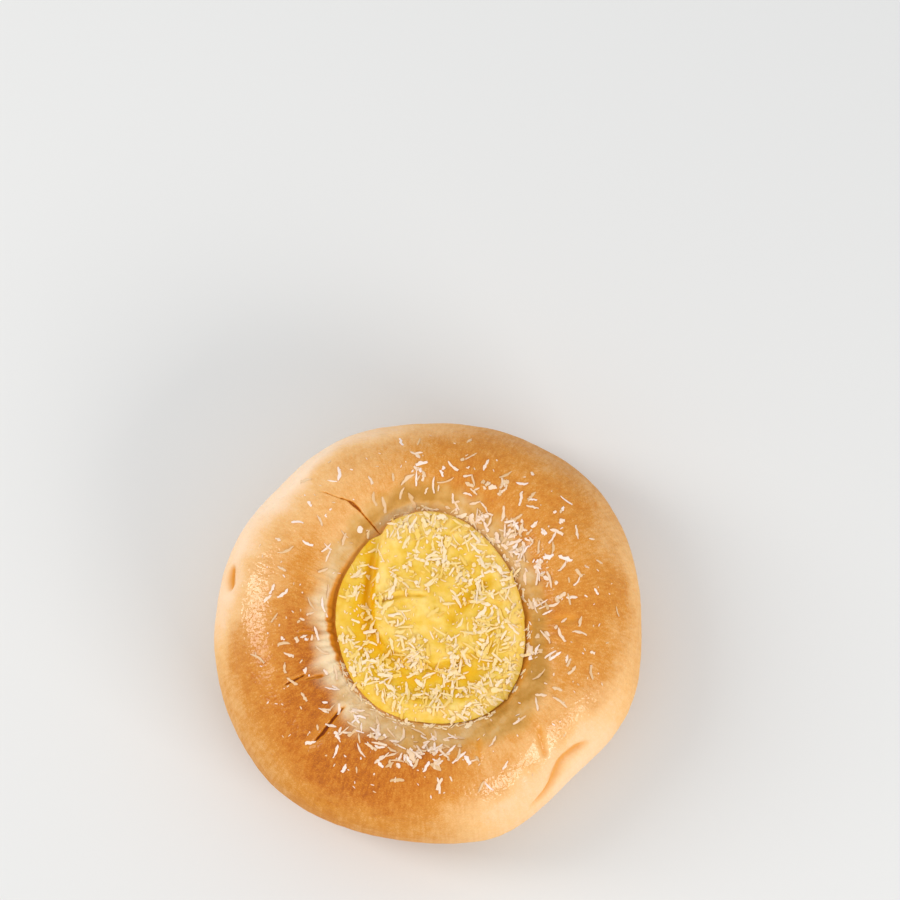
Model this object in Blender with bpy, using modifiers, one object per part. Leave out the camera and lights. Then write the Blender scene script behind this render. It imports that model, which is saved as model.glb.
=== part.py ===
"""A coconut bun: a round sweet bun with a piped custard centre and shredded coconut on top.

Metres, +Z up. The bun stands on its flat base, with the origin at the middle of its
bounding box, on the base. It has two pieces: the bread, with a well in its top, and the
custard that fills the well. Each carries the largest shreds of coconut, fused to it.
"""

import math
import random
from dataclasses import dataclass

import bmesh
import bpy
import numpy as np
from mathutils import Vector, noise
from mathutils.bvhtree import BVHTree

MM = 0.001

# The bread's mean cross-section
BUN_RADIUS = 52.9 * MM
GIRTH_HEIGHT = 15.0 * MM
BASE_RADIUS = 39.0 * MM
CREST_RADIUS = 35.5 * MM
CREST_HEIGHT = 37.3 * MM
BELOW_BASE = 0.8 * MM
SIDE_FULLNESS = 2.15
PLAN_BLEND = 4.0 * MM

# The well: a shallow bowl with a groove in the dough along the custard's edge
WELL_RADIUS = 24.55 * MM
WELL_MIDDLE_HEIGHT = 29.3 * MM
WELL_RISE = 3.1 * MM
WELL_FLAT_SHARE = 0.62
WELL_EDGE_SLOPE = 2.0 * WELL_RISE / ((1.0 - WELL_FLAT_SHARE) * WELL_RADIUS)
GROOVE_DEPTH = 0.12 * MM
GROOVE_WIDTH = 0.8 * MM
GROOVE_OFFSET = 0.7 * MM
DEEP_GROOVE = 0.8 * MM
DEEP_GROOVE_TOWARD_DEG = 184.0
DEEP_GROOVE_SPREAD_DEG = 46.0
DEEP_GROOVE_WIDENING = 0.3

# The bread's unevenness: long low lumps on its top and side
LUMP_SIZE = 24.0 * MM
LUMP_HEIGHT = 1.1 * MM

# The custard's middle in plan, its edges, and its height above the well's floor
CUSTARD_MIDDLE = (0.6 * MM, -0.7 * MM)
CUSTARD_GAP = 0.45 * MM
CUSTARD_EDGE_SHARE = 0.945
CUSTARD_GIRTH_SHARE = 0.35
OUTER_TURN_HEIGHT = 33.4 * MM

# The small notch in the custard's edge where its outer turn ends beside the coil
NOTCH_TOWARD_DEG = 119.5
NOTCH_SPREAD_DEG = 4.5
NOTCH_SHARE = 0.035

# The custard's upper coil: a round lobe whose lip stands over the outer turn
COIL_MIDDLE = (1.3 * MM, 1.6 * MM)
COIL_RADIUS = 14.8 * MM
COIL_STEP = 1.9 * MM
COIL_WALL_WIDTH = 0.9 * MM
COIL_LIP_WIDTH = 1.7 * MM
COIL_LEAN = 0.14
COIL_LEAN_START = 4.0 * MM
COIL_FLATTENING = 1.13
LIP_RISE = 0.35 * MM
VALLEY_DEPTH = 0.9 * MM
VALLEY_WIDTH = 1.1 * MM
VALLEY_OFFSET = 1.4 * MM
VALLEY_END_SHARE = 0.95
VALLEY_FADE_SHARE = 0.15
VALLEY_SHALLOWING = 0.5
COIL_SHOWN_DEG = (75.0, 345.0)
COIL_FADE_DEG = (45.0, 60.0)
MERGED_COIL_SHARE = 0.8
MERGED_COIL_REACH = 0.9

# The raised rim on the custard's right and lower edge, and the hollow inside it
RIM_SHARE = 0.84
RIM_WIDTH_SHARE = 0.09
RIM_RISE = 1.0 * MM
RIM_TOWARD_DEG = -45.0
RIM_SPREAD = 0.8
RIM_LOWEST = 0.35
HOLLOW_DEPTH = 0.3 * MM
HOLLOW_SHARE = RIM_SHARE - 0.22

# The bare bump in the custard's middle, and the dip at its upper right
BUMP_MIDDLE = (-1.6 * MM, 2.3 * MM)
BUMP_RISE = 0.9 * MM
BUMP_WIDTH = 5.0 * MM
DIP_MIDDLE = (14.2 * MM, 14.2 * MM)
DIP_DEPTH = 0.7 * MM
DIP_WIDTH = 3.5 * MM

# How finely the two forms are turned, and how many triangles they keep
TURN_STEPS = 220
PROFILE_STEP = 1.1 * MM
BANK_ARC = 1.2
TOP_ARC = 1.8
SIDE_ARC = 1.4
CUSTARD_TOP_STEPS = 22
CUSTARD_SHOULDER_STEPS = 5
CUSTARD_BELLY_STEPS = 2
FOLD_REFINED = 2.5 * MM
PATH_RUNS = 6
BOWL_SHARES = (0.0, 0.4, 0.65, 0.75, 0.83, 0.89, 0.94, 0.97)
BUN_TRIANGLES = 4700
CUSTARD_TRIANGLES = 1350
AXIS_MERGE = 0.00001

# A fold narrows and fades towards its ends, and its lips lie a few widths beside it
FOLD_END_WIDTH = 0.45
FOLD_FADE_SHARE = 0.2
FOLD_END_DEPTH = 0.1
LIP_PLACE = 2.4
LIP_SPREAD = 1.3

# Coconut: the largest shreds
SHRED_SEED = 41
BUN_SHREDS = 90
CUSTARD_SHREDS = 34
SHRED_LENGTH = (2.2 * MM, 4.3 * MM)
SHRED_WIDTH = (0.7 * MM, 1.2 * MM)
SHRED_PROUD = 0.45 * MM
SHRED_SUNK = 0.8 * MM
SHRED_SPACE = 0.5 * MM
SHRED_BEND = 0.3
SHRED_TAPER = 0.4
COCONUT_REACH = 46.0 * MM
CUSTARD_CLEARANCE = 1.6 * MM
FOLD_CLEARANCE = 2.2 * MM
SHRED_TRIES = 20000


@dataclass(frozen=True)
class Wave:
    """One ripple of an outline: its number of bulges, its share of the radius, one peak."""

    count: int
    share: float
    peak_deg: float


@dataclass(frozen=True)
class Fold:
    """A crease pressed in along a path in plan, in mm, between two raised lips."""

    path: tuple
    width: float
    depth: float
    lip: float


@dataclass(frozen=True)
class Drift:
    """A drift of coconut: its direction and spread in degrees, its radius and band in mm."""

    toward_deg: float
    spread_deg: float
    radius: float
    band: float
    strength: float


@dataclass(frozen=True)
class BarePatch:
    """A patch with little coconut: its middle and reach across in mm, and its length over width."""

    across: float
    along: float
    reach: float
    stretch: float
    strength: float


BUN_WAVES = (
    Wave(2, 0.0188, 35.2),
    Wave(3, 0.0046, 35.2),
    Wave(4, 0.0049, 31.4),
    Wave(5, 0.0036, 59.0),
    Wave(6, 0.0097, 44.8),
    Wave(7, 0.0046, 29.0),
    Wave(8, 0.0048, 21.9),
    Wave(10, 0.0028, 7.0),
)
CUSTARD_WAVES = (
    Wave(2, 0.0705, 102.4),
    Wave(3, 0.0280, 84.5),
    Wave(5, 0.0127, 21.4),
)

RADIAL_PATH = ((-27.0, 31.1), (-22.6, 29.2), (-18.6, 27.6), (-14.2, 23.3), (-10.2, 19.2))
SLIT_PATH = ((-28.2, -31.6), (-25.4, -28.6), (-23.3, -25.8), (-21.3, -23.2), (-19.6, -21.6))
SLIT_HOLLOW_PATH = ((-31.0, -33.6), (-27.0, -29.8), (-23.4, -25.4), (-19.4, -21.4))
TUCKED_PATH = ((24.2, -45.4), (28.6, -41.4), (30.6, -38.6), (32.4, -34.6), (36.4, -31.2), (40.0, -29.2))

RADIAL_FOLD = Fold(RADIAL_PATH, 0.5, 0.6, 0.1)
DEEP_SLIT = Fold(SLIT_PATH, 0.55, 0.9, 0.0)
SLIT_HOLLOW = Fold(SLIT_HOLLOW_PATH, 1.5, 0.4, 0.0)
SHORT_CREASE = Fold(((-35.2, -17.4), (-32.0, -15.8), (-29.2, -14.3)), 0.45, 0.6, 0.1)
INNER_CREASE = Fold(((-30.4, -16.0), (-27.8, -15.1), (-24.9, -14.3)), 0.45, 0.4, 0.1)
LEFT_CREASE = Fold(((-32.5, -4.4), (-29.6, -4.1), (-27.0, -4.3)), 0.45, 0.35, 0.0)
SIDE_DENT = Fold(((-48.3, 14.5), (-48.6, 10.8), (-48.3, 7.0)), 1.9, 1.0, 0.0)
TUCKED_FOLD = Fold(TUCKED_PATH, 1.8, 1.25, 0.1)
LOWER_WRINKLE = Fold(((26.6, -26.6), (27.2, -31.0), (28.6, -34.6)), 1.1, 0.5, 0.0)
SMALL_WRINKLE = Fold(((11.9, -29.2), (12.4, -36.4)), 1.0, 0.4, 0.0)
RIGHT_DIMPLE = Fold(((29.7, -0.9), (36.6, -0.9)), 1.2, 0.6, 0.1)
BUN_FOLDS = (
    RADIAL_FOLD,
    DEEP_SLIT,
    SLIT_HOLLOW,
    SHORT_CREASE,
    INNER_CREASE,
    LEFT_CREASE,
    SIDE_DENT,
    TUCKED_FOLD,
    LOWER_WRINKLE,
    SMALL_WRINKLE,
    RIGHT_DIMPLE,
)

COIL_SEAM = Fold(((-14.0, 3.4), (-10.5, 4.0), (-6.2, 5.0), (0.7, 5.0)), 0.6, 0.5, 0.25)
INNER_SEAM = Fold(((4.7, -3.2), (7.3, 1.7), (12.4, 7.6), (17.4, 9.2)), 1.8, 0.7, 0.3)
CUSTARD_FOLDS = (COIL_SEAM, INNER_SEAM)

DRIFTS = (
    Drift(46.0, 27.0, 28.1, 4.7, 0.92),
    Drift(264.0, 26.0, 31.8, 4.5, 0.8),
    Drift(74.0, 38.0, 36.5, 5.5, 0.27),
    Drift(355.0, 22.0, 29.0, 4.5, 0.4),
    Drift(190.0, 90.0, 31.0, 6.0, 0.12),
)
STRAY_COCONUT = 0.03
BARE_PATCHES = (
    BarePatch(-1.6, 3.0, 4.6, 1.0, 1.1),
    BarePatch(-8.5, 15.0, 5.0, 1.0, 0.8),
    BarePatch(-14.0, 8.0, 2.5, 2.0, 0.7),
    BarePatch(-18.0, 2.0, 5.0, 3.0, 0.3),
    BarePatch(2.0, -1.0, 20.0, 0.3, 0.3),
)


def smooth_step(value):
    """Ease from 0 to 1 as the value goes from 0 to 1, and stay flat beyond."""
    clipped = np.clip(value, 0.0, 1.0)
    return clipped * clipped * (3.0 - 2.0 * clipped)


def hump(value, width):
    """A round hump of height 1 at zero that fades away over about twice its width."""
    return np.exp(-((value / width) ** 2))


def outline_radius(angle, mean, waves):
    """Radius of an uneven round outline at an angle."""
    ripple = sum(w.share * np.cos(w.count * (angle - math.radians(w.peak_deg))) for w in waves)
    return mean * (1.0 + ripple)


def plan_middle():
    """Middle of the bread's plan, which the finished bun has over the origin."""
    angle = np.linspace(0.0, 2.0 * math.pi, 721)
    radius = outline_radius(angle, BUN_RADIUS, BUN_WAVES)
    across = radius * np.cos(angle)
    along = radius * np.sin(angle)
    return (across.max() + across.min()) / 2.0, (along.max() + along.min()) / 2.0


def quarter(start, end, fullness, steps, from_level=True):
    """Quarter of a superellipse between two (radius, height) points, without its last point."""
    points = []
    for step in range(steps):
        turn = 0.5 * math.pi * step / steps
        sine = math.sin(turn) ** (2.0 / fullness)
        cosine = math.cos(turn) ** (2.0 / fullness)
        outward, upward = (sine, 1.0 - cosine) if from_level else (1.0 - cosine, sine)
        points.append(
            (
                start[0] + (end[0] - start[0]) * outward,
                start[1] + (end[1] - start[1]) * upward,
            )
        )
    return points


def bank_between(start, end, first_slope, steps):
    """Bank that leaves one (radius, height) point at a slope and comes out level at another."""
    span, rise = end[0] - start[0], end[1] - start[1]
    points = []
    for step in range(steps):
        way = step / steps
        climb = first_slope * span / rise * way * (1.0 - way) ** 2 + way * way * (3.0 - 2.0 * way)
        points.append((start[0] + span * way, start[1] + rise * climb))
    return points


def well_floor(share):
    """Height of the well's bowl at a share of its radius."""
    outward = np.clip((share - WELL_FLAT_SHARE) / (1.0 - WELL_FLAT_SHARE), 0.0, 1.0)
    return WELL_MIDDLE_HEIGHT + WELL_RISE * outward * outward


def bun_profile():
    """Mean cross-section of the bread, from the middle of the well out, down and back in."""
    floor = [(share * WELL_RADIUS, float(well_floor(share))) for share in BOWL_SHARES]
    foot = (WELL_RADIUS, float(well_floor(1.0)))
    bank_steps = round((CREST_RADIUS - WELL_RADIUS) * BANK_ARC / PROFILE_STEP)
    bank = bank_between(foot, (CREST_RADIUS, CREST_HEIGHT), WELL_EDGE_SLOPE, bank_steps)
    top_steps = round((BUN_RADIUS - CREST_RADIUS) * TOP_ARC / PROFILE_STEP)
    top = quarter((CREST_RADIUS, CREST_HEIGHT), (BUN_RADIUS, GIRTH_HEIGHT), SIDE_FULLNESS, top_steps)
    side_steps = round(GIRTH_HEIGHT * SIDE_ARC / PROFILE_STEP)
    side = quarter((BUN_RADIUS, GIRTH_HEIGHT), (BASE_RADIUS, -BELOW_BASE), SIDE_FULLNESS, side_steps, False)
    return floor + bank + top + side + [(BASE_RADIUS, -BELOW_BASE), (0.0, -BELOW_BASE)]


def custard_profile():
    """Cross-section of the custard with a radius and height of 1, from the top's middle."""
    top = [(CUSTARD_EDGE_SHARE * step / CUSTARD_TOP_STEPS, 1.0) for step in range(CUSTARD_TOP_STEPS)]
    girth = (1.0, CUSTARD_GIRTH_SHARE)
    shoulder = quarter((CUSTARD_EDGE_SHARE, 1.0), girth, 2.0, CUSTARD_SHOULDER_STEPS)
    belly = quarter(girth, (BOWL_SHARES[-1], 0.0), 2.0, CUSTARD_BELLY_STEPS, False)
    return top + shoulder + belly + [(share, 0.0) for share in BOWL_SHARES[::-1]]


def turned_mesh(name, profile):
    """Turn a profile about the Z axis with a Screw modifier and return the mesh."""
    outline = bpy.data.meshes.new(name + " profile")
    corners = [(radius, 0.0, height) for radius, height in profile]
    outline.from_pydata(corners, [(i, i + 1) for i in range(len(corners) - 1)], [])
    turned = bpy.data.objects.new(name + " profile", outline)
    bpy.context.scene.collection.objects.link(turned)
    screw = turned.modifiers.new("Turn", "SCREW")
    screw.axis = "Z"
    screw.steps = TURN_STEPS
    screw.render_steps = TURN_STEPS
    screw.use_merge_vertices = True
    screw.merge_threshold = AXIS_MERGE
    mesh = evaluated_mesh(turned)
    bpy.data.objects.remove(turned)
    return mesh


def evaluated_mesh(item):
    """A new mesh holding an object's geometry as its modifiers leave it."""
    depsgraph = bpy.context.evaluated_depsgraph_get()
    return bpy.data.meshes.new_from_object(item.evaluated_get(depsgraph))


def vertex_array(mesh, attribute="co"):
    """Positions or normals of a mesh's vertices as an array of rows."""
    values = np.empty(len(mesh.vertices) * 3)
    mesh.vertices.foreach_get(attribute, values)
    return values.reshape(-1, 3)


def move_vertices(mesh, places):
    """Put a mesh's vertices at new places."""
    mesh.vertices.foreach_set("co", places.ravel())
    mesh.update()


def bvh_of(mesh):
    """Search tree of a mesh, for finding its surface from above."""
    form = bmesh.new()
    form.from_mesh(mesh)
    tree = BVHTree.FromBMesh(form)
    form.free()
    return tree


def surface_below(tree, across, along):
    """Point and normal of the surface straight below a place in plan."""
    above = Vector((across, along, 2.0 * CREST_HEIGHT))
    point, normal, _, _ = tree.ray_cast(above, Vector((0.0, 0.0, -1.0)))
    return point, normal


def turned_from(degrees, toward):
    """Angle from a direction, from -180 to 180 degrees."""
    return (degrees - toward + 180.0) % 360.0 - 180.0


def shape_bread(places):
    """Give the turned bread its outline, its lumps, and a well that follows the custard's."""
    angle = np.arctan2(places[:, 1], places[:, 0])
    radius = np.hypot(places[:, 0], places[:, 1])
    outer = radius * outline_radius(angle, 1.0, BUN_WAVES)
    inner = radius * outline_radius(angle, 1.0, CUSTARD_WAVES)
    share = smooth_step((radius - WELL_RADIUS) / (CREST_RADIUS + PLAN_BLEND - WELL_RADIUS))
    new_radius = share * outer + (1.0 - share) * inner
    shaped = places.copy()
    shaped[:, 0] = new_radius * np.cos(angle) + (1.0 - share) * CUSTARD_MIDDLE[0]
    shaped[:, 1] = new_radius * np.sin(angle) + (1.0 - share) * CUSTARD_MIDDLE[1]
    lumps = np.array([noise.noise(Vector(place) / LUMP_SIZE) for place in shaped])
    rising = smooth_step(shaped[:, 2] / GIRTH_HEIGHT)
    outward = smooth_step((radius - WELL_RADIUS) / (CREST_RADIUS - WELL_RADIUS))
    shaped[:, 2] += LUMP_HEIGHT * lumps * rising * outward
    deep = hump(turned_from(np.degrees(angle), DEEP_GROOVE_TOWARD_DEG), DEEP_GROOVE_SPREAD_DEG)
    edge_gap = (custard_share(shaped[:, 0], shaped[:, 1]) - 1.0) * WELL_RADIUS
    groove = hump(edge_gap - GROOVE_OFFSET, GROOVE_WIDTH * (1.0 + DEEP_GROOVE_WIDENING * deep))
    shaped[:, 2] -= (GROOVE_DEPTH + DEEP_GROOVE * deep) * groove * (shaped[:, 2] > GIRTH_HEIGHT)
    return shaped


def path_distance(places, path):
    """Distance of each place from a chain of straight runs, and its share along the chain."""
    lengths = [np.linalg.norm(path[i + 1] - path[i]) for i in range(len(path) - 1)]
    nearest = np.full(len(places), np.inf)
    along = np.zeros(len(places))
    before = 0.0
    for start, end, length in zip(path[:-1], path[1:], lengths):
        run = (end - start) / length
        reach = np.clip((places - start) @ run, 0.0, length)
        gap = np.linalg.norm(places - (start + reach[:, None] * run), axis=1)
        closer = gap < nearest
        nearest = np.where(closer, gap, nearest)
        along = np.where(closer, (before + reach) / sum(lengths), along)
        before += length
    return nearest, along


def smooth_path(points):
    """Points along a smooth curve through some points in plan."""
    knots = [np.array(point) for point in points]
    knots = [2.0 * knots[0] - knots[1], *knots, 2.0 * knots[-1] - knots[-2]]
    path = []
    for before, start, end, after in zip(knots, knots[1:], knots[2:], knots[3:]):
        for way in np.arange(PATH_RUNS) / PATH_RUNS:
            bend = 2.0 * before - 5.0 * start + 4.0 * end - after
            twist = 3.0 * start - before - 3.0 * end + after
            path.append(start + 0.5 * way * (end - before + way * (bend + way * twist)))
    return [*path, knots[-2]]


def path_on_surface(tree, fold):
    """The smooth path of a fold, laid onto a surface."""
    return np.array([surface_below(tree, x * MM, y * MM)[0] for x, y in smooth_path(fold.path)])


def refine_near(mesh, paths):
    """Halve a mesh's edges close to some paths, so that creases come out sharp."""
    places = vertex_array(mesh)
    near = np.min([path_distance(places, path)[0] for path in paths], axis=0) < FOLD_REFINED
    form = bmesh.new()
    form.from_mesh(mesh)
    form.verts.ensure_lookup_table()
    chosen = [edge for edge in form.edges if all(near[vertex.index] for vertex in edge.verts)]
    bmesh.ops.subdivide_edges(form, edges=chosen, cuts=1, use_grid_fill=True)
    form.to_mesh(mesh)
    form.free()


def press_folds(mesh, folds):
    """Press creases into a mesh along its normals, with the dough raised beside them."""
    tree = bvh_of(mesh)
    paths = [path_on_surface(tree, fold) for fold in folds]
    refine_near(mesh, paths)
    places = vertex_array(mesh)
    normals = vertex_array(mesh, "normal")
    push = np.zeros(len(places))
    for fold, path in zip(folds, paths):
        gap, along = path_distance(places, path)
        fullness = FOLD_END_WIDTH + (1.0 - FOLD_END_WIDTH) * np.sin(math.pi * along)
        width = fold.width * MM * fullness
        fade = smooth_step(np.minimum(along, 1.0 - along) / FOLD_FADE_SHARE + FOLD_END_DEPTH)
        push -= fold.depth * MM * hump(gap, width) * fade
        push += fold.lip * MM * hump(gap - LIP_PLACE * width, LIP_SPREAD * width) * fade
    move_vertices(mesh, places + normals * push[:, None])


def custard_top(across, along, share):
    """Height of the custard's upper surface at a place in plan."""
    to_right = across - COIL_MIDDLE[0]
    to_top = along - COIL_MIDDLE[1]
    lean = COIL_LEAN * np.maximum(to_top - COIL_LEAN_START, 0.0)
    below = COIL_FLATTENING * np.minimum(to_top, 0.0)
    inside = COIL_RADIUS - np.hypot(to_right - lean, below)
    around = np.degrees(np.arctan2(to_top, to_right)) % 360.0
    appearing = smooth_step((around - COIL_SHOWN_DEG[0]) / COIL_FADE_DEG[0])
    shown = appearing * smooth_step((COIL_SHOWN_DEG[1] - around) / COIL_FADE_DEG[1])
    step = COIL_STEP * smooth_step(inside / COIL_WALL_WIDTH + 0.5)
    lip = LIP_RISE * hump(inside - 2.0 * COIL_LIP_WIDTH, COIL_LIP_WIDTH)
    valley = VALLEY_DEPTH * hump(inside + VALLEY_OFFSET, VALLEY_WIDTH)
    valley *= smooth_step((VALLEY_END_SHARE - share) / VALLEY_FADE_SHARE)
    valley *= 1.0 - VALLEY_SHALLOWING * smooth_step(-to_top / COIL_RADIUS)
    merged = smooth_step(inside / COIL_RADIUS + MERGED_COIL_REACH)
    plateau = MERGED_COIL_SHARE * COIL_STEP * merged
    coil = shown * (step + lip - valley) + (1.0 - shown) * plateau
    rim_angle = np.arctan2(along - CUSTARD_MIDDLE[1], across - CUSTARD_MIDDLE[0])
    toward_rim = smooth_step(0.5 + RIM_SPREAD * np.cos(rim_angle - math.radians(RIM_TOWARD_DEG)))
    rim_shown = RIM_LOWEST + (1.0 - RIM_LOWEST) * toward_rim
    rim = RIM_RISE * rim_shown * hump(share - RIM_SHARE, RIM_WIDTH_SHARE)
    hollow = HOLLOW_DEPTH * rim_shown * hump(share - HOLLOW_SHARE, RIM_WIDTH_SHARE)
    bump = BUMP_RISE * hump(np.hypot(across - BUMP_MIDDLE[0], along - BUMP_MIDDLE[1]), BUMP_WIDTH)
    dip = DIP_DEPTH * hump(np.hypot(across - DIP_MIDDLE[0], along - DIP_MIDDLE[1]), DIP_WIDTH)
    return OUTER_TURN_HEIGHT + coil + rim - hollow + bump - dip


def shape_custard(places):
    """Give the turned unit form the custard's outline, underside and piped top."""
    angle = np.arctan2(places[:, 1], places[:, 0])
    share = np.hypot(places[:, 0], places[:, 1])
    notch = NOTCH_SHARE * hump(turned_from(np.degrees(angle), NOTCH_TOWARD_DEG), NOTCH_SPREAD_DEG)
    radius = share * outline_radius(angle, WELL_RADIUS, CUSTARD_WAVES) * (1.0 - notch * share**4)
    shaped = places.copy()
    shaped[:, 0] = CUSTARD_MIDDLE[0] + radius * np.cos(angle)
    shaped[:, 1] = CUSTARD_MIDDLE[1] + radius * np.sin(angle)
    underside = well_floor(share) + CUSTARD_GAP
    top = custard_top(shaped[:, 0], shaped[:, 1], share)
    shaped[:, 2] = underside + places[:, 2] * (top - underside)
    return shaped


def thin_out(mesh, triangles):
    """Reduce a closed mesh to about a given number of triangles, fine where it bends most."""
    mesh.calc_loop_triangles()
    item = bpy.data.objects.new("Thinned", mesh)
    bpy.context.scene.collection.objects.link(item)
    fewer = item.modifiers.new("Fewer", "DECIMATE")
    fewer.ratio = triangles / len(mesh.loop_triangles)
    thinned = evaluated_mesh(item)
    bpy.data.objects.remove(item)
    return thinned


def flatten_base(mesh):
    """Cut a mesh level at height zero and close it with a flat face."""
    form = bmesh.new()
    form.from_mesh(mesh)
    whole = form.verts[:] + form.edges[:] + form.faces[:]
    cut = bmesh.ops.bisect_plane(
        form, geom=whole, dist=1e-7, plane_co=(0.0, 0.0, 0.0), plane_no=(0.0, 0.0, 1.0), clear_inner=True
    )
    edges = [part for part in cut["geom_cut"] if isinstance(part, bmesh.types.BMEdge)]
    bmesh.ops.contextual_create(form, geom=edges)
    bmesh.ops.recalc_face_normals(form, faces=form.faces[:])
    form.to_mesh(mesh)
    form.free()


def custard_share(across, along):
    """How far places lie from the custard's middle, as a share of its outline."""
    right, up = across - CUSTARD_MIDDLE[0], along - CUSTARD_MIDDLE[1]
    edge = outline_radius(np.arctan2(up, right), WELL_RADIUS, CUSTARD_WAVES)
    return np.hypot(right, up) / edge


def coconut_on_custard(across, along):
    """How thickly coconut lies at a place on the custard, from 0 to 1."""
    thickness = 1.0
    for patch in BARE_PATCHES:
        aside = across / MM - patch.across
        ahead = (along / MM - patch.along) / patch.stretch
        thickness -= patch.strength * hump(math.hypot(aside, ahead), patch.reach)
    return max(0.0, thickness)


def coconut_on_bread(across, along):
    """How thickly coconut lies at a place on the bread, from 0 to 1."""
    radius = math.hypot(across, along)
    direction = math.degrees(math.atan2(along, across))
    thickness = STRAY_COCONUT
    for drift in DRIFTS:
        turn = turned_from(direction, drift.toward_deg)
        band = hump(radius - drift.radius * MM, drift.band * MM)
        thickness += drift.strength * hump(turn, drift.spread_deg) * band
    return min(1.0, thickness)


def shred_line(shred):
    """Five points along the middle of a shred in plan."""
    across, along, heading, length, _, bend = shred
    line = []
    for step in range(-2, 3):
        reach = 0.25 * step * length
        aside = bend * reach * reach / length
        line.append(
            (
                across + reach * math.cos(heading) - aside * math.sin(heading),
                along + reach * math.sin(heading) + aside * math.cos(heading),
            )
        )
    return line


def scatter_shreds(count, thickness_at, may_lie_at):
    """Draw the places of well separated shreds, thickest where the coconut lies thickest."""
    draw = random.Random(SHRED_SEED)
    shreds = []
    lines = []
    for _ in range(SHRED_TRIES):
        across = draw.uniform(-COCONUT_REACH, COCONUT_REACH)
        along = draw.uniform(-COCONUT_REACH, COCONUT_REACH)
        heading = draw.uniform(0.0, math.pi)
        length = draw.uniform(*SHRED_LENGTH)
        width = draw.uniform(*SHRED_WIDTH)
        bend = draw.uniform(-SHRED_BEND, SHRED_BEND)
        chance = draw.random()
        shred = (across, along, heading, length, width, bend)
        if math.hypot(across, along) > COCONUT_REACH or chance > thickness_at(across, along):
            continue
        line = shred_line(shred)
        if not all(may_lie_at(*place) for place in line):
            continue
        apart = SHRED_WIDTH[1] + SHRED_SPACE
        if any(math.dist(a, b) < apart for other in lines for a in line for b in other):
            continue
        shreds.append(shred)
        lines.append(line)
        if len(shreds) == count:
            break
    return shreds


def clear_of_custard(across, along):
    """Whether a place is on the bread, far enough from the custard and from every fold."""
    edge_gap = (custard_share(across, along) - 1.0) * WELL_RADIUS
    if edge_gap < CUSTARD_CLEARANCE or math.hypot(across, along) > COCONUT_REACH:
        return False
    place = np.array([[across, along]])
    gaps = (path_distance(place, np.array(fold.path) * MM)[0][0] for fold in BUN_FOLDS)
    return min(gaps) > FOLD_CLEARANCE


def well_on_custard(across, along):
    """Whether a place is on the custard's top, inside its rounded edge."""
    return custard_share(across, along) < CUSTARD_EDGE_SHARE - 0.02


def shred_object(shred, tree):
    """A bent, tapered sliver of coconut that follows the surface and is half sunk in it."""
    across, along, heading, length, width, bend = shred
    form = bmesh.new()
    bmesh.ops.create_cube(form, size=1.0)
    lengthwise = [edge for edge in form.edges if abs(edge.verts[0].co.x - edge.verts[1].co.x) > 0.5]
    bmesh.ops.subdivide_edges(form, edges=lengthwise, cuts=2, use_grid_fill=True)
    for vertex in form.verts:
        reach = vertex.co.x * length
        taper = 1.0 - SHRED_TAPER * abs(2.0 * vertex.co.x) ** 2
        aside = vertex.co.y * width * taper + bend * reach * reach / length
        ground, normal = surface_below(
            tree,
            across + reach * math.cos(heading) - aside * math.sin(heading),
            along + reach * math.sin(heading) + aside * math.cos(heading),
        )
        lift = SHRED_PROUD * taper if vertex.co.z > 0.0 else -SHRED_SUNK
        vertex.co = ground + normal * lift
    bmesh.ops.recalc_face_normals(form, faces=form.faces[:])
    mesh = bpy.data.meshes.new("Shred")
    form.to_mesh(mesh)
    form.free()
    return bpy.data.objects.new("Shred", mesh)


def fuse_shreds(mesh, shreds):
    """Join shreds to a mesh with one Boolean union and return the joined mesh."""
    tree = bvh_of(mesh)
    cutters = bpy.data.collections.new("Shreds")
    bpy.context.scene.collection.children.link(cutters)
    for shred in shreds:
        item = shred_object(shred, tree)
        item.hide_render = True
        item.display_type = "WIRE"
        cutters.objects.link(item)
    body = bpy.data.objects.new("Body", mesh)
    bpy.context.scene.collection.objects.link(body)
    union = body.modifiers.new("Fuse", "BOOLEAN")
    union.operation = "UNION"
    union.operand_type = "COLLECTION"
    union.collection = cutters
    union.solver = "EXACT"
    joined = evaluated_mesh(body)
    bpy.data.objects.remove(body)
    for item in list(cutters.objects):
        bpy.data.objects.remove(item)
    bpy.data.collections.remove(cutters)
    keep_largest_shell(joined)
    return joined


def keep_largest_shell(mesh):
    """Fill sealed pockets and drop loose scraps, by keeping only a mesh's largest shell."""
    form = bmesh.new()
    form.from_mesh(mesh)
    unseen = set(form.verts)
    shells = []
    while unseen:
        front = [unseen.pop()]
        shell = list(front)
        while front:
            vertex = front.pop()
            for edge in vertex.link_edges:
                other = edge.other_vert(vertex)
                if other in unseen:
                    unseen.remove(other)
                    front.append(other)
                    shell.append(other)
        shells.append(shell)
    shells.sort(key=len)
    scraps = [vertex for shell in shells[:-1] for vertex in shell]
    bmesh.ops.delete(form, geom=scraps, context="VERTS")
    form.to_mesh(mesh)
    form.free()


def baked_surface(name, colour, roughness):
    """A plain Principled material with a linear base colour."""
    material = bpy.data.materials.new(name)
    material.use_nodes = True
    shader = material.node_tree.nodes["Principled BSDF"]
    shader.inputs["Base Color"].default_value = (*colour, 1.0)
    shader.inputs["Roughness"].default_value = roughness
    shader.inputs["Metallic"].default_value = 0.0
    return material


def finished_object(name, mesh, material, collection):
    """Put a mesh with its middle over the origin, shade it smooth and give it its material."""
    middle = plan_middle()
    places = vertex_array(mesh)
    places[:, 0] -= middle[0]
    places[:, 1] -= middle[1]
    move_vertices(mesh, places)
    mesh.name = name
    mesh.shade_smooth()
    mesh.set_sharp_from_angle(angle=math.radians(50.0))
    mesh.materials.clear()
    mesh.materials.append(material)
    item = bpy.data.objects.new(name, mesh)
    collection.objects.link(item)
    return item


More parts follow.
